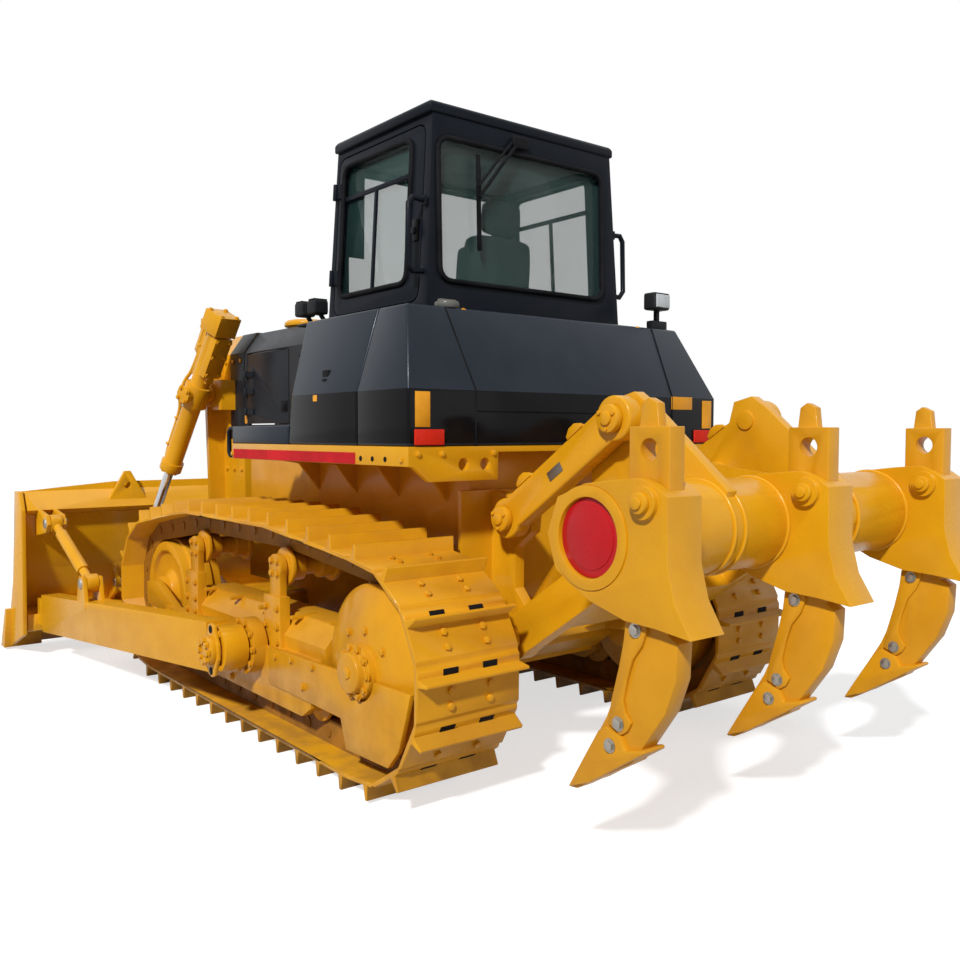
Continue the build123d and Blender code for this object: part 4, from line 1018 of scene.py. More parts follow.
# --------------------------------------------------------------------- body
@dataclass
class Bodywork(Assembly):
    """Deck, tank, boxes, hood and guard with their seams, plates and latches. Millimetres."""

    deck_half: float = 1093.0
    rear: float = -170.0
    crease: float = 1868.0       # where the upright lower panels meet the sloping ones
    seam_radius: float = 0.0045
    seam_at: Point = (-170.5, 707.0, 1772.0)
    seam_top: Point = (21.0, 745.0, 2272.0)
    seam_foot: float = 1609.0
    guard_face: float = 3240.0
    band_x: Pair = (2822.0, 3062.0)
    band: Outline = ((503, 1625), (503, 2256), (396, 2408), (-396, 2408), (-503, 2256), (-503, 1625), (-500.5, 1625),
                     (-500.5, 2255), (-395, 2405.5), (395, 2405.5), (500.5, 2255), (500.5, 1625))
    FORMS = (   # node, finish, radius of its edges, segments round them
        ("deck_strip", "slate", 0.008, 2), ("platform", "yellow", 0.006, 2), ("radiator_guard", "yellow", 0.008, 2),
        ("radiator_grille", "hood", 0.004, 1), ("engine_hood", "hood", 0.010, 2), ("precleaner", "yellow", 0.008, 3),
        ("engine", "engine", 0.012, 2), ("engine_door_left", "hood", 0.006, 2),
        ("engine_door_right", "hood", 0.006, 2))
    TRIMS = (
        Trim("amber_plate_{}", "amber", Block((-173.5, 973, 1694), (-169.5, 1056, 1855), 0.002)),
        Trim("amber_plate_wide", "amber", Block((-173.5, -700, 1800), (-169.5, -880, 1872), 0.002)),
        Trim("rear_reflector_{}", "lens", Block((-179.5, 896, 1612), (-169.5, 1062, 1684), 0.008, 3)),
        Trim("tank_dot_{}", "amber", Bar((30, 630, 2262), (22, 630, 2262), 0.017, 20, 0.002)),
        Trim("tank_cap", "engine", Bar((80, 690, 2276), (80, 690, 2312), 0.062, 32, 0.012),
             Block((66, 640, 2306), (94, 740, 2322), 0.006)),
        Trim("rear_lamp", "plastic", Block((60, -800, 2276), (110, -930, 2330), 0.006),
             Block((75, -850, 2320), (100, -880, 2400), 0.005), Block((20, -770, 2390), (110, -910, 2490), 0.014, 3)),
        Trim("rear_lamp_glass", "lamp", Block((12, -782, 2402), (22, -898, 2478), 0.006, 3)),
        Trim("side_stripe_{}", "red", Block((284, 1092, 1517), (1690, 1095.5, 1573), 0.001, 1)),
        Trim("front_plate_{}", "amber", Block((2784, 499, 1737), (2822, 502, 1846), 0.001, 1)),
        Trim("box_latch_{}", "rubber", Block((585, 1052, 1905), (655, 1066, 1990), 0.006),
             Block((600, 1055, 1930), (640, 1076, 1945))),
        Trim("box_mark_{}", "amber", Block((660, 1090, 1830), (700, 1095.5, 1862), 0.001, 1)),
        # Black discs on the deck's edge: painted shade that stands for the dark inside of its holes.
        Trim("deck_holes_painted_shade_{}", "rubber",
             *(Bar((x, 1091, 1545), (x, 1094.5, 1545), 0.013, 20, 0.0005) for x in (20, 130, 235))),
        Trim("hood_louvres_{}", "hood",
             *(Block((1430, 498, z), (1980, 508, z + 16)) for z in range(1760, 2220, 52))),
        Trim("engine_door_latch_{}", "rubber", Block((2150, 499, 1812), (2235, 508, 1888), 0.008),
             Block((2165, 506, 1828), (2200, 516, 1872), 0.005), body="engine_door_{}"),
        Trim("exhaust_collar", "iron", Bar((1900, -230, 2398), (1900, -230, 2470), 0.075, 32, 0.01)))

    def two_tone(self, obj: Object, upper: Material, lower: Material) -> None:
        """Paints the upright lower panels in a second finish.

        Args:
            obj: the dressed box.
            upper: finish of the sloping panels.
            lower: finish of the upright ones.
        """
        obj.data.materials.clear()
        obj.data.materials.append(upper)
        obj.data.materials.append(lower)
        for face in obj.data.polygons:
            upright = abs(face.normal.z) < 0.12
            face.material_index = 1 if upright and face.center.z < self.crease / 1000 - 0.004 else 0

    def seam(self, places: Sequence[Point], side: int, name: str) -> None:
        """A dark gap between two panels, drawn as a thin strip that follows them."""
        strip = self.bench.tube([mirrored(place, side) for place in places], self.seam_radius, 6)
        self.put(strip, name, self.paint.rubber)

    def build(self) -> None:
        """Dresses the body and adds its trim, seams and bolts."""
        bench, paint, (x, y, z) = self.bench, self.paint, self.seam_at
        for node, edge in (("fuel_tank", 0.014), ("side_boxes", 0.012)):
            self.two_tone(bench.dressed(node, paint.slate, edge, 3), paint.slate, paint.gloss)
        self.dress(self.FORMS)
        self.fit(self.TRIMS)
        for side, name in SIDES:
            self.seam((self.seam_top, (x, y, self.crease), (x, y, self.seam_foot)), side, f"tank_seam_{name}")
            self.body_bolts(side, name)
        self.seam((self.seam_at, (x, -y, z)), 1, "tank_lower_seam")
        start, end = self.band_x
        outline = [spot(start, across, rise) for across, rise in self.band]
        self.put(bench.sheet_metal(outline, Vector(((end - start) / 1000, 0, 0)), 0.001), "hood_band", paint.hood)

    def body_bolts(self, side: int, name: str) -> None:
        """Bolts of the deck's edge and of the radiator guard on one side."""
        out = Vector((0, side, 0))
        deck = [facing(spot(self.rear, side * across, 1572), Turn.BACK.vector) for across in (600, 905, 1040)]
        deck += [facing(spot(x, side * self.deck_half, 1545), out) for x in (-120, 1700)]
        self.bolts((0.013, 0.010), deck, f"deck_bolts_{name}", self.paint.yellow)
        guard = [facing(spot(self.guard_face, side * across, z), Turn.FORWARD.vector)
                 for across, z in ((560, 1700), (560, 1400), (630, 2450), (640, 2320))]
        guard += [facing(spot(x, side * 500, z), out) for x in (2880, 3010, 3140) for z in (1160, 1400, 2200)]
        self.bolts((0.016, 0.012), guard, f"guard_bolts_{name}", self.paint.yellow)


# --------------------------------------------------------------------- cab
def work_lamp(x: int) -> tuple[Trim, Trim]:
    """The trim of a lamp before the cab on each side, and of its glass, from its rear's x."""
    fins = (Block((x + fin, 604, 2464), (x + fin + 6, 696, 2478), 0.002, 1) for fin in range(10, 75, 16))
    return (Trim(f"front_lamp_{{}}_{x}", "plastic", Block((x, 600, 2384), (x + 96, 700, 2470), 0.014, 3),
                 Bar((x + 48, 600, 2345), (x + 48, 640, 2400), 0.014, 16), *fins),
            Trim(f"front_lamp_glass_{{}}_{x}", "lamp", Block((x + 93, 610, 2394), (x + 102, 690, 2460), 0.006, 3)))


@dataclass
class Cab(Assembly):
    """Cab shell, doors, panes, seals, handles, wiper, seat and console. Millimetres."""

    rear: float = 240.0
    front: float = 1230.0
    sill: float = 2300.0
    eaves: float = 3286.0
    half: float = 700.0
    half_top: float = 640.0
    lean: float = 25.0
    lock_z: float = 2700.0
    handle_x: float = 284.0
    wiper_blade: Outline = ((352, 3118), (374, 3118), (374, 2620), (352, 2620))
    FORMS = (   # node, finish, radius of its edges, segments round them
        ("cab_frame", "cab", 0.012, 3), ("cab_roof", "cab", 0.010, 3), ("cab_glass", "pane", 0.0, 2),
        ("cab_door_left", "cab", 0.008, 3), ("door_glass_left", "pane", 0.0, 2), ("cab_door_right", "cab", 0.008, 3),
        ("door_glass_right", "pane", 0.0, 2), ("cab_console", "plastic", 0.020, 3))
    TRIMS = (
        Trim("deck_handle_{}", "cab", Pipe(((1704, 1070, 1694), (1786, 1070, 1694), (1806, 1070, 1672),
                                            (1806, 1070, 1552), (1786, 1070, 1530), (1704, 1070, 1530)), 0.014, 12)),
        Trim("lamp_shelf_{}", "cab", Block((1300, 560, 2330), (1700, 660, 2346), 0.005),
             Block((1300, 500, 2250), (1330, 580, 2346), 0.005)),
        *work_lamp(1400), *work_lamp(1560),
        Trim("roof_lining", "lining", Block((300, -560, 3222), (1170, 560, 3234))),
        Trim("levers_and_dash", "plastic", Block((985, -250, 2410), (1140, 250, 2490), 0.03, 4),
             *(Pipe(((700, y, 2325), (712, y, 2400), (700, y * 0.97, 2450)), 0.011, 10) for y in (-380, 380)),
             *(Bar((700, y * 0.97, 2440), (694, y * 0.97, 2510), 0.024, 20, 0.01) for y in (-380, 380))))
    PADS = (   # name, lowest corner, highest corner, lean, crown
        ("seat_cushion", (520, -235, 2165), (960, 235, 2275), 0.0, 0.022),
        ("seat_back", (515, -225, 2250), (610, 225, 2770), 0.09, 0.020),
        ("head_rest", (462, -125, 2790), (535, 125, 2965), 0.05, 0.016),
        ("seat_bolster_right", (530, -240, 2300), (640, -180, 2700), 0.09, 0.014),
        ("seat_bolster_left", (530, 180, 2300), (640, 240, 2700), 0.09, 0.014))

    def wall_y(self, z: float) -> float:
        """Outer face of the left wall at a height."""
        return self.half - (z - self.sill) * (self.half - self.half_top) / (self.eaves - self.sill)

    def end_x(self, z: float, front: bool) -> float:
        """Outer face of the rear or front wall at a height."""
        inward = self.lean * (z - self.sill) / (self.eaves - self.sill)
        return self.front - inward if front else self.rear + inward

    def rounded(self, width: Pair, height: Pair, radius: float) -> list[Pair]:
        """Corners of a rounded rectangle.

        Args:
            width: lowest and highest first coordinate.
            height: lowest and highest second coordinate.
            radius: corner radius.

        Returns:
            Points in order.
        """
        (a0, a1), (b0, b1) = width, height
        points = []
        for ca, cb, start in ((a1 - radius, b1 - radius, 0), (a0 + radius, b1 - radius, 90),
                              (a0 + radius, b0 + radius, 180), (a1 - radius, b0 + radius, 270)):
            for step in range(5):
                angle = math.radians(start + step * 22.5)
                points.append((ca + radius * math.cos(angle), cb + radius * math.sin(angle)))
        return points

    def seal(self, points: Sequence[Vector], name: str, body: str = "chassis") -> None:
        """Rubber seal round a pane."""
        self.put(self.bench.tube([*points, points[0]], 0.015, 8), name, self.paint.rubber, body)

    def build(self) -> None:
        """Dresses the cab and adds its trim."""
        self.dress(self.FORMS)
        self.windows()
        self.wiper()
        self.handles()
        self.fit(self.TRIMS)
        self.seat()

    def windows(self) -> None:
        """Seals of the panes, and the doors' window bars and locks."""
        bench, paint = self.bench, self.paint
        for front, name, width, height in ((False, "rear", (-565, 615), (2445, 3171)),
                                           (True, "front", (-590, 590), (2360, 3196))):
            out = 4 if front else -4
            ring = [spot(self.end_x(z, front) + out, y, z) for y, z in self.rounded(width, height, 70)]
            self.seal(ring, name + "_window_seal")
        lock_y = self.wall_y(self.lock_z)
        for side, name in SIDES:
            door = "cab_door_" + name
            ring = self.rounded((430, 1115), (2445, 3188), 60)
            self.seal([spot(x, side * (self.wall_y(z) + 3), z) for x, z in ring], f"door_seal_{name}", door)
            bars = []
            for x0, x1, z0, z1 in ((434, 1112, 2992, 3018), (768, 792, 2450, 2996)):
                corners = ((x0, z0), (x1, z0), (x1, z1), (x0, z1))
                outline = [spot(x, side * (self.wall_y(z) - 16), z) for x, z in corners]
                bars.append(bench.sheet_metal(outline, Vector((0, side * 0.014, 0))))
            self.put(bars, f"window_bars_{name}", paint.cab, door)
            lock = bench.box(spot(335, side * (lock_y - 2), self.lock_z - 50),
                             spot(380, side * (lock_y + 16), self.lock_z + 60), 0.006)
            grip = bench.rod(spot(356, side * (lock_y + 12), self.lock_z),
                             spot(356, side * (lock_y + 30), self.lock_z), 0.018, 20)
            self.put([lock, grip], f"door_lock_{name}", paint.plastic, door)

    def wiper(self) -> None:
        """The rear wiper: motor, hub, arm with its stay, and blade."""
        bench = self.bench
        pivot = spot(self.end_x(3215, False) - 22, 92, 3225)
        arm = bench.tube([pivot, spot(222, 240, 3060), spot(232, 366, 2895)], 0.010, 8)
        stay = bench.tube([pivot + Vector((0, 0.04, 0)), spot(222, 285, 3060), spot(232, 372, 2950)], 0.007, 8)
        hub = bench.rod(pivot + Vector((0.03, 0, 0)), pivot + Vector((-0.012, 0, 0)), 0.026, 20)
        outline = [spot(self.end_x(z, False) - 6, y, z) for y, z in self.wiper_blade]
        blade = bench.sheet_metal(outline, Vector((-0.016, 0, 0)))
        motor = bench.box(spot(252, 20, 3196), spot(230, 130, 3262), 0.010, 3)
        self.put([arm, stay, hub, blade, motor], "rear_wiper", self.paint.rubber)

    def handles(self) -> None:
        """A grab handle on two pads at each rear pillar."""
        bench, x = self.bench, self.handle_x
        for side, name in SIDES:
            y = side * (self.wall_y(2680) + 4)
            out = side * 96
            bar = bench.tube([spot(x, y - side * 12, 2842), spot(x, y + out * 0.75, 2848), spot(x, y + out, 2815),
                              spot(x, y + out + side * 8, 2520), spot(x, y + out * 0.75, 2482),
                              spot(x, y - side * 8, 2488)], 0.015, 12)
            pads = [bench.box(spot(x - 24, y - side * 4, z), spot(x + 24, y + side * 9, z + 50)) for z in (2465, 2815)]
            self.put([bar, *pads], f"pillar_handle_{name}", self.paint.cab)

    def cushion(self, low: Vector, high: Vector, lean: float, crown: float) -> Object:
        """A crowned pad: a box, subdivided, swollen in the middle and pulled in at its corners.

        Args:
            low: lowest corner.
            high: highest corner.
            lean: how far the top moves back for each metre of height.
            crown: how far the faces swell.

        Returns:
            The pad.
        """
        pad = self.bench.cube(low, high)
        bpy.ops.object.mode_set(mode="EDIT")
        bpy.ops.mesh.select_all(action="SELECT")
        bpy.ops.mesh.subdivide(number_cuts=7)
        bpy.ops.object.mode_set(mode="OBJECT")
        middle = (Vector(low) + Vector(high)) / 2
        half = [abs(high[i] - low[i]) / 2 for i in range(3)]
        for vertex in pad.data.vertices:
            along = [(vertex.co[i] - middle[i]) / half[i] for i in range(3)]
            swell = Vector(0.0 for _ in range(3))
            for i in range(3):
                others = [1 - along[j] ** 4 for j in range(3) if j != i]
                swell[i] = along[i] * (others[0] * others[1] - 0.55) * crown
            vertex.co += swell
            vertex.co.x -= lean * (vertex.co.z - low[2])
        tool = pad.modifiers.new("soft", "SUBSURF")
        tool.levels = tool.render_levels = 1
        self.bench.hold(pad)
        bpy.ops.object.modifier_apply(modifier="soft")
        return self.bench.shade(pad, 60)

    def seat(self) -> None:
        """The seat on its pedestal: cushion, back with side bolsters, and head rest."""
        bench = self.bench
        for name, low, high, lean, crown in self.PADS:
            pad = self.put(self.cushion(spot(*low), spot(*high), lean, crown), name, self.paint.cloth)
        stem = bench.box(spot(620, -150, 1660), spot(860, 150, 2170), 0.02, 3)
        rods = [bench.rod(spot(498, y, 2740), spot(490, y, 2820), 0.008, 12) for y in (-60, 60)]
        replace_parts(self.put([stem, *rods], "seat_base", self.paint.plastic), "cab_seat")


# --------------------------------------------------------------------- blade
@dataclass
class Blade(Assembly):
    """Blade, push arms, brace and tilt cylinder, and the lift cylinders. Millimetres."""

    cap: Point = (2769.0, 675.0, 2516.0)
    eye: Point = (3862.0, 999.5, 501.0)
    pivot_at: float = 650.0
    gland_at: float = 1290.0
    trunnion: Pair = (1100.0, 515.0)
    trunnion_face: float = 1534.0
    edge_pitch: float = 180.0
    body: str = "blade_assembly"
    FORMS = (   # node, finish, radius of its edges, segments round them
        ("blade", "yellow", 0.006, 2), ("push_arm_left", "yellow", 0.010, 3), ("push_arm_right", "yellow", 0.010, 3),
        ("brace", "yellow", 0.010, 3), ("tilt_cylinder", "yellow", 0.010, 3), ("lift_rod_left", "chrome", 0.003, 2),
        ("lift_rod_right", "chrome", 0.003, 2))
    TRIMS = (
        Trim("trunnion_cap_{}", "yellow", Plate((
            (1052, 615), (1060, 647), (1100, 661), (1140, 647), (1148, 615), (1184, 555), (1184, 475), (1148, 415),
            (1140, 383), (1100, 369), (1060, 383), (1052, 415), (1016, 475), (1016, 555)), 1478, 20, 0.005),
             Bar((1100, 1490, 515), (1100, 1534, 515), 0.078, 40, 0.010),
             Bar((1100, 1530, 515), (1100, 1540, 515), 0.030), body=body),
        # Black discs on the trunnion cap: painted shade that stands for the dark inside of its two holes.
        Trim("trunnion_holes_painted_shade_{}", "rubber", Bar((1100, 1494, 403), (1100, 1500, 403), 0.022, edge=0.001),
             Bar((1100, 1494, 627), (1100, 1500, 627), 0.022, edge=0.001), body=body),
        Trim("brace_pins_{}", "steel", Bar((2950, 1498, 650), (2950, 1650, 650), 0.034),
             Bar((3560, 1565, 1017), (3560, 1715, 1017), 0.034), body=body),
        Trim("lift_pin_{}", "steel", Bar((3862, 857.5, 501), (3862, 907.5, 501), 0.036),
             Bar((3862, 1091.5, 501), (3862, 1141.5, 501), 0.036), body=body))

    def along(self, distance: float, side: int) -> Vector:
        """Point on a lift cylinder's line, measured from its cap's top."""
        start, end = mirrored(self.cap, side), mirrored(self.eye, side)
        return start + (end - start).normalized() * (distance / 1000)

    def build(self) -> None:
        """Dresses the blade and its arms and adds bolts and pins."""
        self.dress(self.FORMS)
        self.fit(self.TRIMS)
        bolts = [facing(spot(4287, i * self.edge_pitch, 75), Vector((0.94, 0, 0.34))) for i in range(-8, 9) if i]
        bolts += [facing(spot(4296, side * y, 80), Vector((0.9, 0, 0.44)))
                  for side in (-1, 1) for y in (1660, 1730, 1800)]
        self.bolts((0.018, 0.010), bolts, "edge_bolts", self.paint.steel, self.body, washer=False)
        x, z = self.trunnion
        for side, name in SIDES:
            bolts = circle(spot(x, side * self.trunnion_face, z), Vector((0, side, 0)), 0.056, 8)
            self.bolts((0.018, 0.016), bolts, f"trunnion_bolts_{name}", self.paint.yellow, self.body)
            self.cylinder(side, name)

    def cylinder(self, side: int, name: str) -> None:
        """One lift cylinder with its cap bolts, gland bolts and oil pipe."""
        bench, paint, body = self.bench, self.paint, "lift_barrel_" + name
        bench.dressed(body, paint.yellow, 0.006)
        line = (self.along(1000, side) - self.along(0, side)).normalized()
        across = Vector((0.34, -0.94 * side, 0.03)).normalized()
        deep = line.cross(across).normalized()

        def at(distance: float, sideways: float, outwards: float) -> Vector:
            """A point beside the cylinder's line: millimetres along it, metres off it."""
            return self.along(distance, side) + deep * outwards + across * sideways

        bolts = [facing(at(0, dx, dy), -line) for dx in (-0.07, 0.07) for dy in (-0.062, 0.062)]
        bolts += circle(self.along(self.gland_at, side), line, 0.062, 8)
        bolts += [facing(at(s, dx, 0.09), deep) for s in (185, 310, 445) for dx in (-0.058, 0.058)]
        bolts += [facing(at(self.pivot_at + s, -0.125, dy), -across) for s in (-38, 38) for dy in (-0.035, 0.035)]
        self.bolts((0.014, 0.012), bolts, f"cylinder_bolts_{name}", paint.yellow, body)
        route = ((100, 0, -0.082), (150, 0, -0.112), (520, 0, -0.112), (590, -0.02, -0.135),
                 (740, -0.02, -0.135), (820, 0, -0.098), (1190, 0, -0.098), (1240, 0, -0.075))
        pipe = bench.tube([at(*place) for place in route], 0.013, 12, soft=True)
        clips, clip_half = [], Vector((0.022, 0.014, 0.008))
        for distance, off in ((300, -0.112), (900, -0.1), (1120, -0.1)):
            clip = bench.box(-clip_half, clip_half)
            clip.matrix_world = facing(at(distance, 0, off), line)
            clips.append(bench.settle(clip))
        self.put([pipe, *clips], f"cylinder_pipe_{name}", paint.yellow, body)


# --------------------------------------------------------------------- ripper
@dataclass
class Ripper(Assembly):
    """Parallelogram ripper: links, beam, holders, shanks and rams. Millimetres."""

    shanks_y: Point = (966.0, 0.0, -966.0)
    upper: Outline = ((-190.0, 1255.0), (-894.7, 1728.5))
    lower: Outline = ((-250.0, 680.0), (-954.7, 1153.5))
    link_out: float = 563.0
    tube: Point = (-1260.0, 1290.0, 190.0)   # x, z and radius
    welds_y: tuple[float, ...] = (872, 95, -95, -872, 448, -448, 382, -382)
    shank_pin: Pair = (-1529.0, 1432.0)
    holder_half: float = 112.0
    shank_half: float = 39.0
    wear_plate: Outline = (
        (-1411, 1011), (-1499, 1025), (-1509, 990), (-1486, 930), (-1445, 875), (-1421, 804), (-1402, 721),
        (-1412, 677), (-1440, 648), (-1423, 615), (-1390, 591), (-1330, 622), (-1345, 711), (-1380, 836), (-1402, 934))
    point: Outline = (
        (-1130, 332), (-1241, 379), (-1480, 540), (-1505, 556), (-1498, 568), (-1416, 545), (-1392, 591), (-1318, 612),
        (-1285, 586), (-1195, 440))
    wear_bolts: tuple[Point, ...] = ((-1459, 982, 55), (-1383, 634, 55), (-1347, 547, 60))   # x, z and how far out
    clamp: Outline = ((-0.055, -0.004), (0.055, -0.004), (0.055, 0.012), (0.02, 0.034), (-0.02, 0.034), (-0.055, 0.012))
    blank: Outline = ((-0.05, -0.022), (0.05, -0.022), (0.05, 0.022), (-0.05, 0.022))
    FORMS = (   # node, finish, radius of its edges, segments round them
        ("ripper_bracket", "yellow", 0.010, 3), ("ripper_links", "yellow", 0.010, 3),
        ("ripper_arm", "yellow", 0.010, 3), ("ripper_beam", "yellow", 0.010, 3),
        ("ripper_holders", "yellow", 0.026, 4), ("ripper_shanks", "tooth", 0.008, 2),
        ("ripper_barrels", "yellow", 0.006, 2), ("ripper_rods", "chrome", 0.003, 2))
    TRIMS = (Trim("tube_disc_{}", "disc", Bar((-1260, 1038, 1290), (-1260, 1046, 1290), 0.146, 64),
                  Bar((-1260, 1044, 1290), (-1260, 1050, 1290), 0.118, 64, 0.002), body="ripper_beam"),)

    def build(self) -> None:
        """Dresses the ripper and adds pins, clamps, wear plates, welds and discs."""
        self.dress(self.FORMS)
        self.pins()
        self.clamps()
        self.fit(self.TRIMS)
        self.welds()
        self.shank_trim()

    def pins(self) -> None:
        """Pin ends with their bolts at the eight link eyes."""
        bench, paint = self.bench, self.paint
        for part, body, eye in (("front", "chassis", 0), ("rear", "ripper_beam", 1)):
            caps, bolts = [], []
            for side in (-1, 1):
                for x, z in (self.upper[eye], self.lower[eye]):
                    y = side * self.link_out
                    caps.append(bench.rod(spot(x, y - side * 16, z), spot(x, y + side * 22, z), 0.062, 32, 0.008))
                    caps.append(bench.rod(spot(x, y + side * 18, z), spot(x, y + side * 34, z), 0.030, 24, 0.005))
                    bolts += circle(spot(x, y + side * 22, z), Vector((0, side, 0)), 0.046, 3, 0.5)
            self.put(caps, f"link_pins_{part}", paint.yellow, body)
            self.bolts((0.010, 0.008), bolts, f"pin_bolts_{part}", paint.yellow, body, washer=False)

    def clamps(self) -> None:
        """Two hose clamps on top of each upper link, each with its bolts, and a blank plate on its side."""
        bench, paint, body = self.bench, self.paint, "ripper_links"
        (x0, z0), (x1, z1) = self.upper
        line = Vector((x1 - x0, 0, z1 - z0)).normalized()
        up = Vector((-line.z, 0, line.x)) * (1 if line.x > 0 else -1)
        bolts, straps, blanks = [], [], []
        for side in (-1, 1):
            for share in (0.26, 0.74):
                middle = spot(x0 + (x1 - x0) * share, side * 500, z0 + (z1 - z0) * share) + up * 0.078
                for edge in (-1, 1):
                    corners = [middle + line * dx + Vector((0, edge * 0.038, 0)) + up * dz for dx, dz in self.clamp]
                    straps.append(bench.sheet_metal(corners, Vector((0, edge * 0.012, 0)), 0.002))
                bar = [middle + Vector((0, y, 0)) + up * 0.028 for y in (-0.040, 0.040)]
                straps.append(bench.tube(bar, 0.012, 10))
                bolts += [facing(middle + line * dx + Vector((0, dy, 0)) + up * 0.002, up)
                          for dx in (-0.038, 0.038) for dy in (-0.022, 0.022)]
        self.put(straps, "link_clamps", paint.yellow, body)
        self.bolts((0.011, 0.010), bolts, "clamp_bolts", paint.yellow, body)
        for side in (-1, 1):
            middle = spot(x0 + (x1 - x0) * 0.5, side * 546, z0 + (z1 - z0) * 0.5)
            corners = [middle + line * dx + up * dz for dx, dz in self.blank]
            blanks.append(bench.sheet_metal(corners, Vector((0, side * 0.003, 0)), 0.001))
        self.put(blanks, "link_blank_plates", paint.iron, body)

    def welds(self) -> None:
        """Weld beads round the tube."""
        bench, (x, z, radius) = self.bench, self.tube
        beads = []
        for y in self.welds_y:
            bench.clear()
            bpy.ops.mesh.primitive_torus_add(
                major_radius=radius / 1000 + 0.001, minor_radius=0.009, major_segments=96, minor_segments=8,
                location=spot(x, y, z), rotation=(math.pi / 2, 0, 0))
            beads.append(bench.settle(bpy.context.object))
        self.put(bench.shade(bench.join(beads), 60), "tube_welds", self.paint.yellow, "ripper_beam")

    def shank_trim(self) -> None:
        """Shank pins, wear plates with their bolts, and the points."""
        bench, paint, (x, z), body = self.bench, self.paint, self.shank_pin, "ripper_beam"
        pins, wear, bolts, points = [], [], [], []
        for y in self.shanks_y:
            for side in (-1, 1):
                face = y + side * self.holder_half
                pins.append(bench.rod(spot(x, face - side * 4, z), spot(x, face + side * 22, z), 0.038, 32, 0.006))
                pins.append(bench.rod(spot(x, face + side * 18, z), spot(x, face + side * 34, z), 0.022, 20, 0.004))
                outline = profile(self.wear_plate, y + side * self.shank_half)
                wear.append(bench.sheet_metal(outline, Vector((0, side * 0.016, 0)), 0.005))
                bolts += [facing(spot(px, y + side * reach, pz), Vector((0, side, 0)))
                          for px, pz, reach in self.wear_bolts]
            points.append(bench.sheet_metal(profile(self.point, y - 60), Vector((0, 0.120, 0)), 0.010))
        self.put(pins, "shank_pins", paint.yellow, body)
        self.put(wear, "wear_plates", paint.tooth, body)
        self.put(points, "shank_points", paint.tooth, body)
        self.bolts((0.020, 0.014), bolts, "wear_bolts", paint.steel, body)


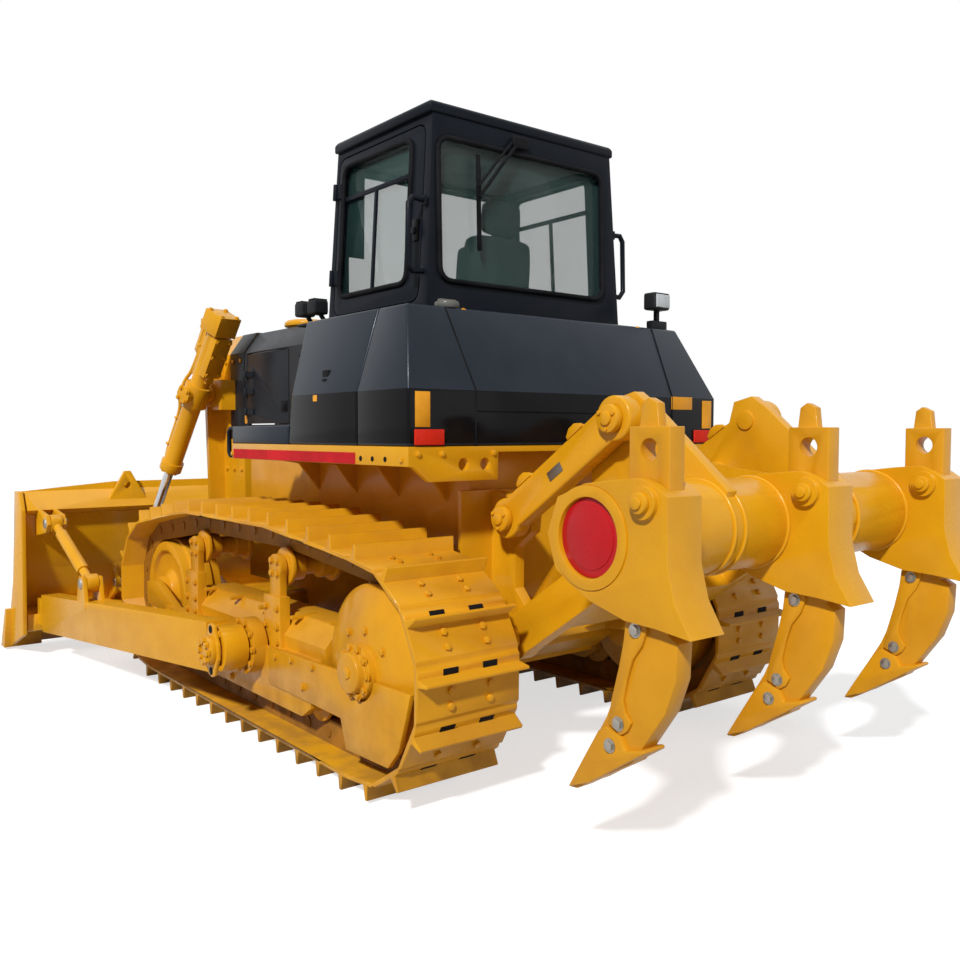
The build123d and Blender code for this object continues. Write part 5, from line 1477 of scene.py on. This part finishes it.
# --------------------------------------------------------------------- studio
@dataclass
class Studio:
    """Floor, lights, background and camera. Metres."""

    eye: Point = (-4.941, 3.457, 1.666)
    look: Point = (0.7804, -0.6233, -0.0498)
    lens: float = 35.16
    aim: Point = (0.0, 0.0, 0.9)
    floor_radius: float = 26.0
    floor_z: float = -0.001
    floor_glow: float = 0.66
    sky_light: float = 0.11
    lamps: tuple = (  # name, kind, place, power, and the sun's angle or the panel's size
        ("key", "SUN", (-6.0, 9.0, 9.5), 3.5, math.radians(4.0)),
        ("top", "AREA", (1.0, 0.0, 11.0), 190.0, 5.0),
        ("fill", "AREA", (-10.0, -2.0, 3.5), 70.0, 5.0))

    def stand(self, name: str, data: bpy.types.ID, place: Point, look: Vector) -> Object:
        """Puts a lamp or a camera in the scene, looking along a direction."""
        obj = bpy.data.objects.new(name, data)
        bpy.context.collection.objects.link(obj)
        obj.location = place
        obj.rotation_euler = look.to_track_quat("-Z", "Y").to_euler()
        return obj

    def build(self, bench: Bench) -> None:
        """Lays the floor, hangs the lights and sets the camera."""
        scene = bpy.context.scene
        scene.view_settings.view_transform = "Standard"
        bench.clear()
        bpy.ops.mesh.primitive_circle_add(
            vertices=96, radius=self.floor_radius, fill_type="NGON", location=(0, 0, self.floor_z))
        floor = bench.settle(bpy.context.object)
        floor.name = "floor"
        floor.data.materials.append(self.floor_finish())
        self.sky(scene)
        for name, kind, place, power, soft in self.lamps:
            lamp = bpy.data.lights.new(name, kind)
            lamp.energy = power
            setattr(lamp, "angle" if kind == "SUN" else "size", soft)
            self.stand(name, lamp, place, Vector(self.aim) - Vector(place))
        camera = bpy.data.cameras.new("camera")
        camera.lens, camera.sensor_width, camera.clip_end = self.lens, 36.0, 200.0
        scene.camera = self.stand("camera", camera, self.eye, Vector(self.look))

    def floor_finish(self) -> Material:
        """Pale floor that the camera sees as near white, shadows kept."""
        g = Graph("pale_floor")
        path = g.node("ShaderNodeLightPath", {}, {}, "Is Camera Ray")
        gloss = g.node("ShaderNodeLightPath", {}, {}, "Is Glossy Ray")
        cloud = g.noise(0.6, 3.0)
        seen = (path + gloss * 0.4).clamped()
        return g.surface({
            "Base Color": g.mix(cloud, (0.50, 0.50, 0.50), (0.53, 0.53, 0.53)), "Roughness": 0.9,
            "Emission Color": g.mix(seen, (0.0, 0.0, 0.0), (1.0, 1.0, 1.0)), "Emission Strength": self.floor_glow})

    def sky(self, scene: bpy.types.Scene) -> None:
        """Even white surroundings: white to the camera, through glass and in reflections, softer as light."""
        scene.world = bpy.data.worlds.new("surroundings")
        scene.world.use_nodes = True
        tree = scene.world.node_tree
        tree.nodes.clear()
        path = tree.nodes.new("ShaderNodeLightPath")
        shown = path.outputs["Is Camera Ray"]
        for ray in ("Is Transmission Ray", "Is Glossy Ray"):
            highest = tree.nodes.new("ShaderNodeMath")
            highest.operation = "MAXIMUM"
            tree.links.new(shown, highest.inputs[0])
            tree.links.new(path.outputs[ray], highest.inputs[1])
            shown = highest.outputs[0]
        strength = tree.nodes.new("ShaderNodeMapRange")
        strength.inputs["To Min"].default_value = self.sky_light
        strength.inputs["To Max"].default_value = 1.0
        tree.links.new(shown, strength.inputs["Value"])
        back = tree.nodes.new("ShaderNodeBackground")
        back.inputs["Color"].default_value = (1.0, 1.0, 1.0, 1.0)
        tree.links.new(strength.outputs[0], back.inputs["Strength"])
        out = tree.nodes.new("ShaderNodeOutputWorld")
        tree.links.new(back.outputs[0], out.inputs["Surface"])


def main() -> None:
    """Builds every assembly in order and notes the sizes."""
    logging.basicConfig(level=logging.INFO, format="%(message)s")
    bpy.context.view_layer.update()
    bench = Bench()
    Studio().build(bench)
    paint = Palette()
    for assembly in (Tracks, Undercarriage, Bodywork, Cab, Blade, Ripper):
        assembly(bench, paint).build()
        LOG.info("%s done", assembly.__name__)
    bench.clear()
    LOG.info("%d pieces", bench.count)


if __name__ == "__main__":
    main()
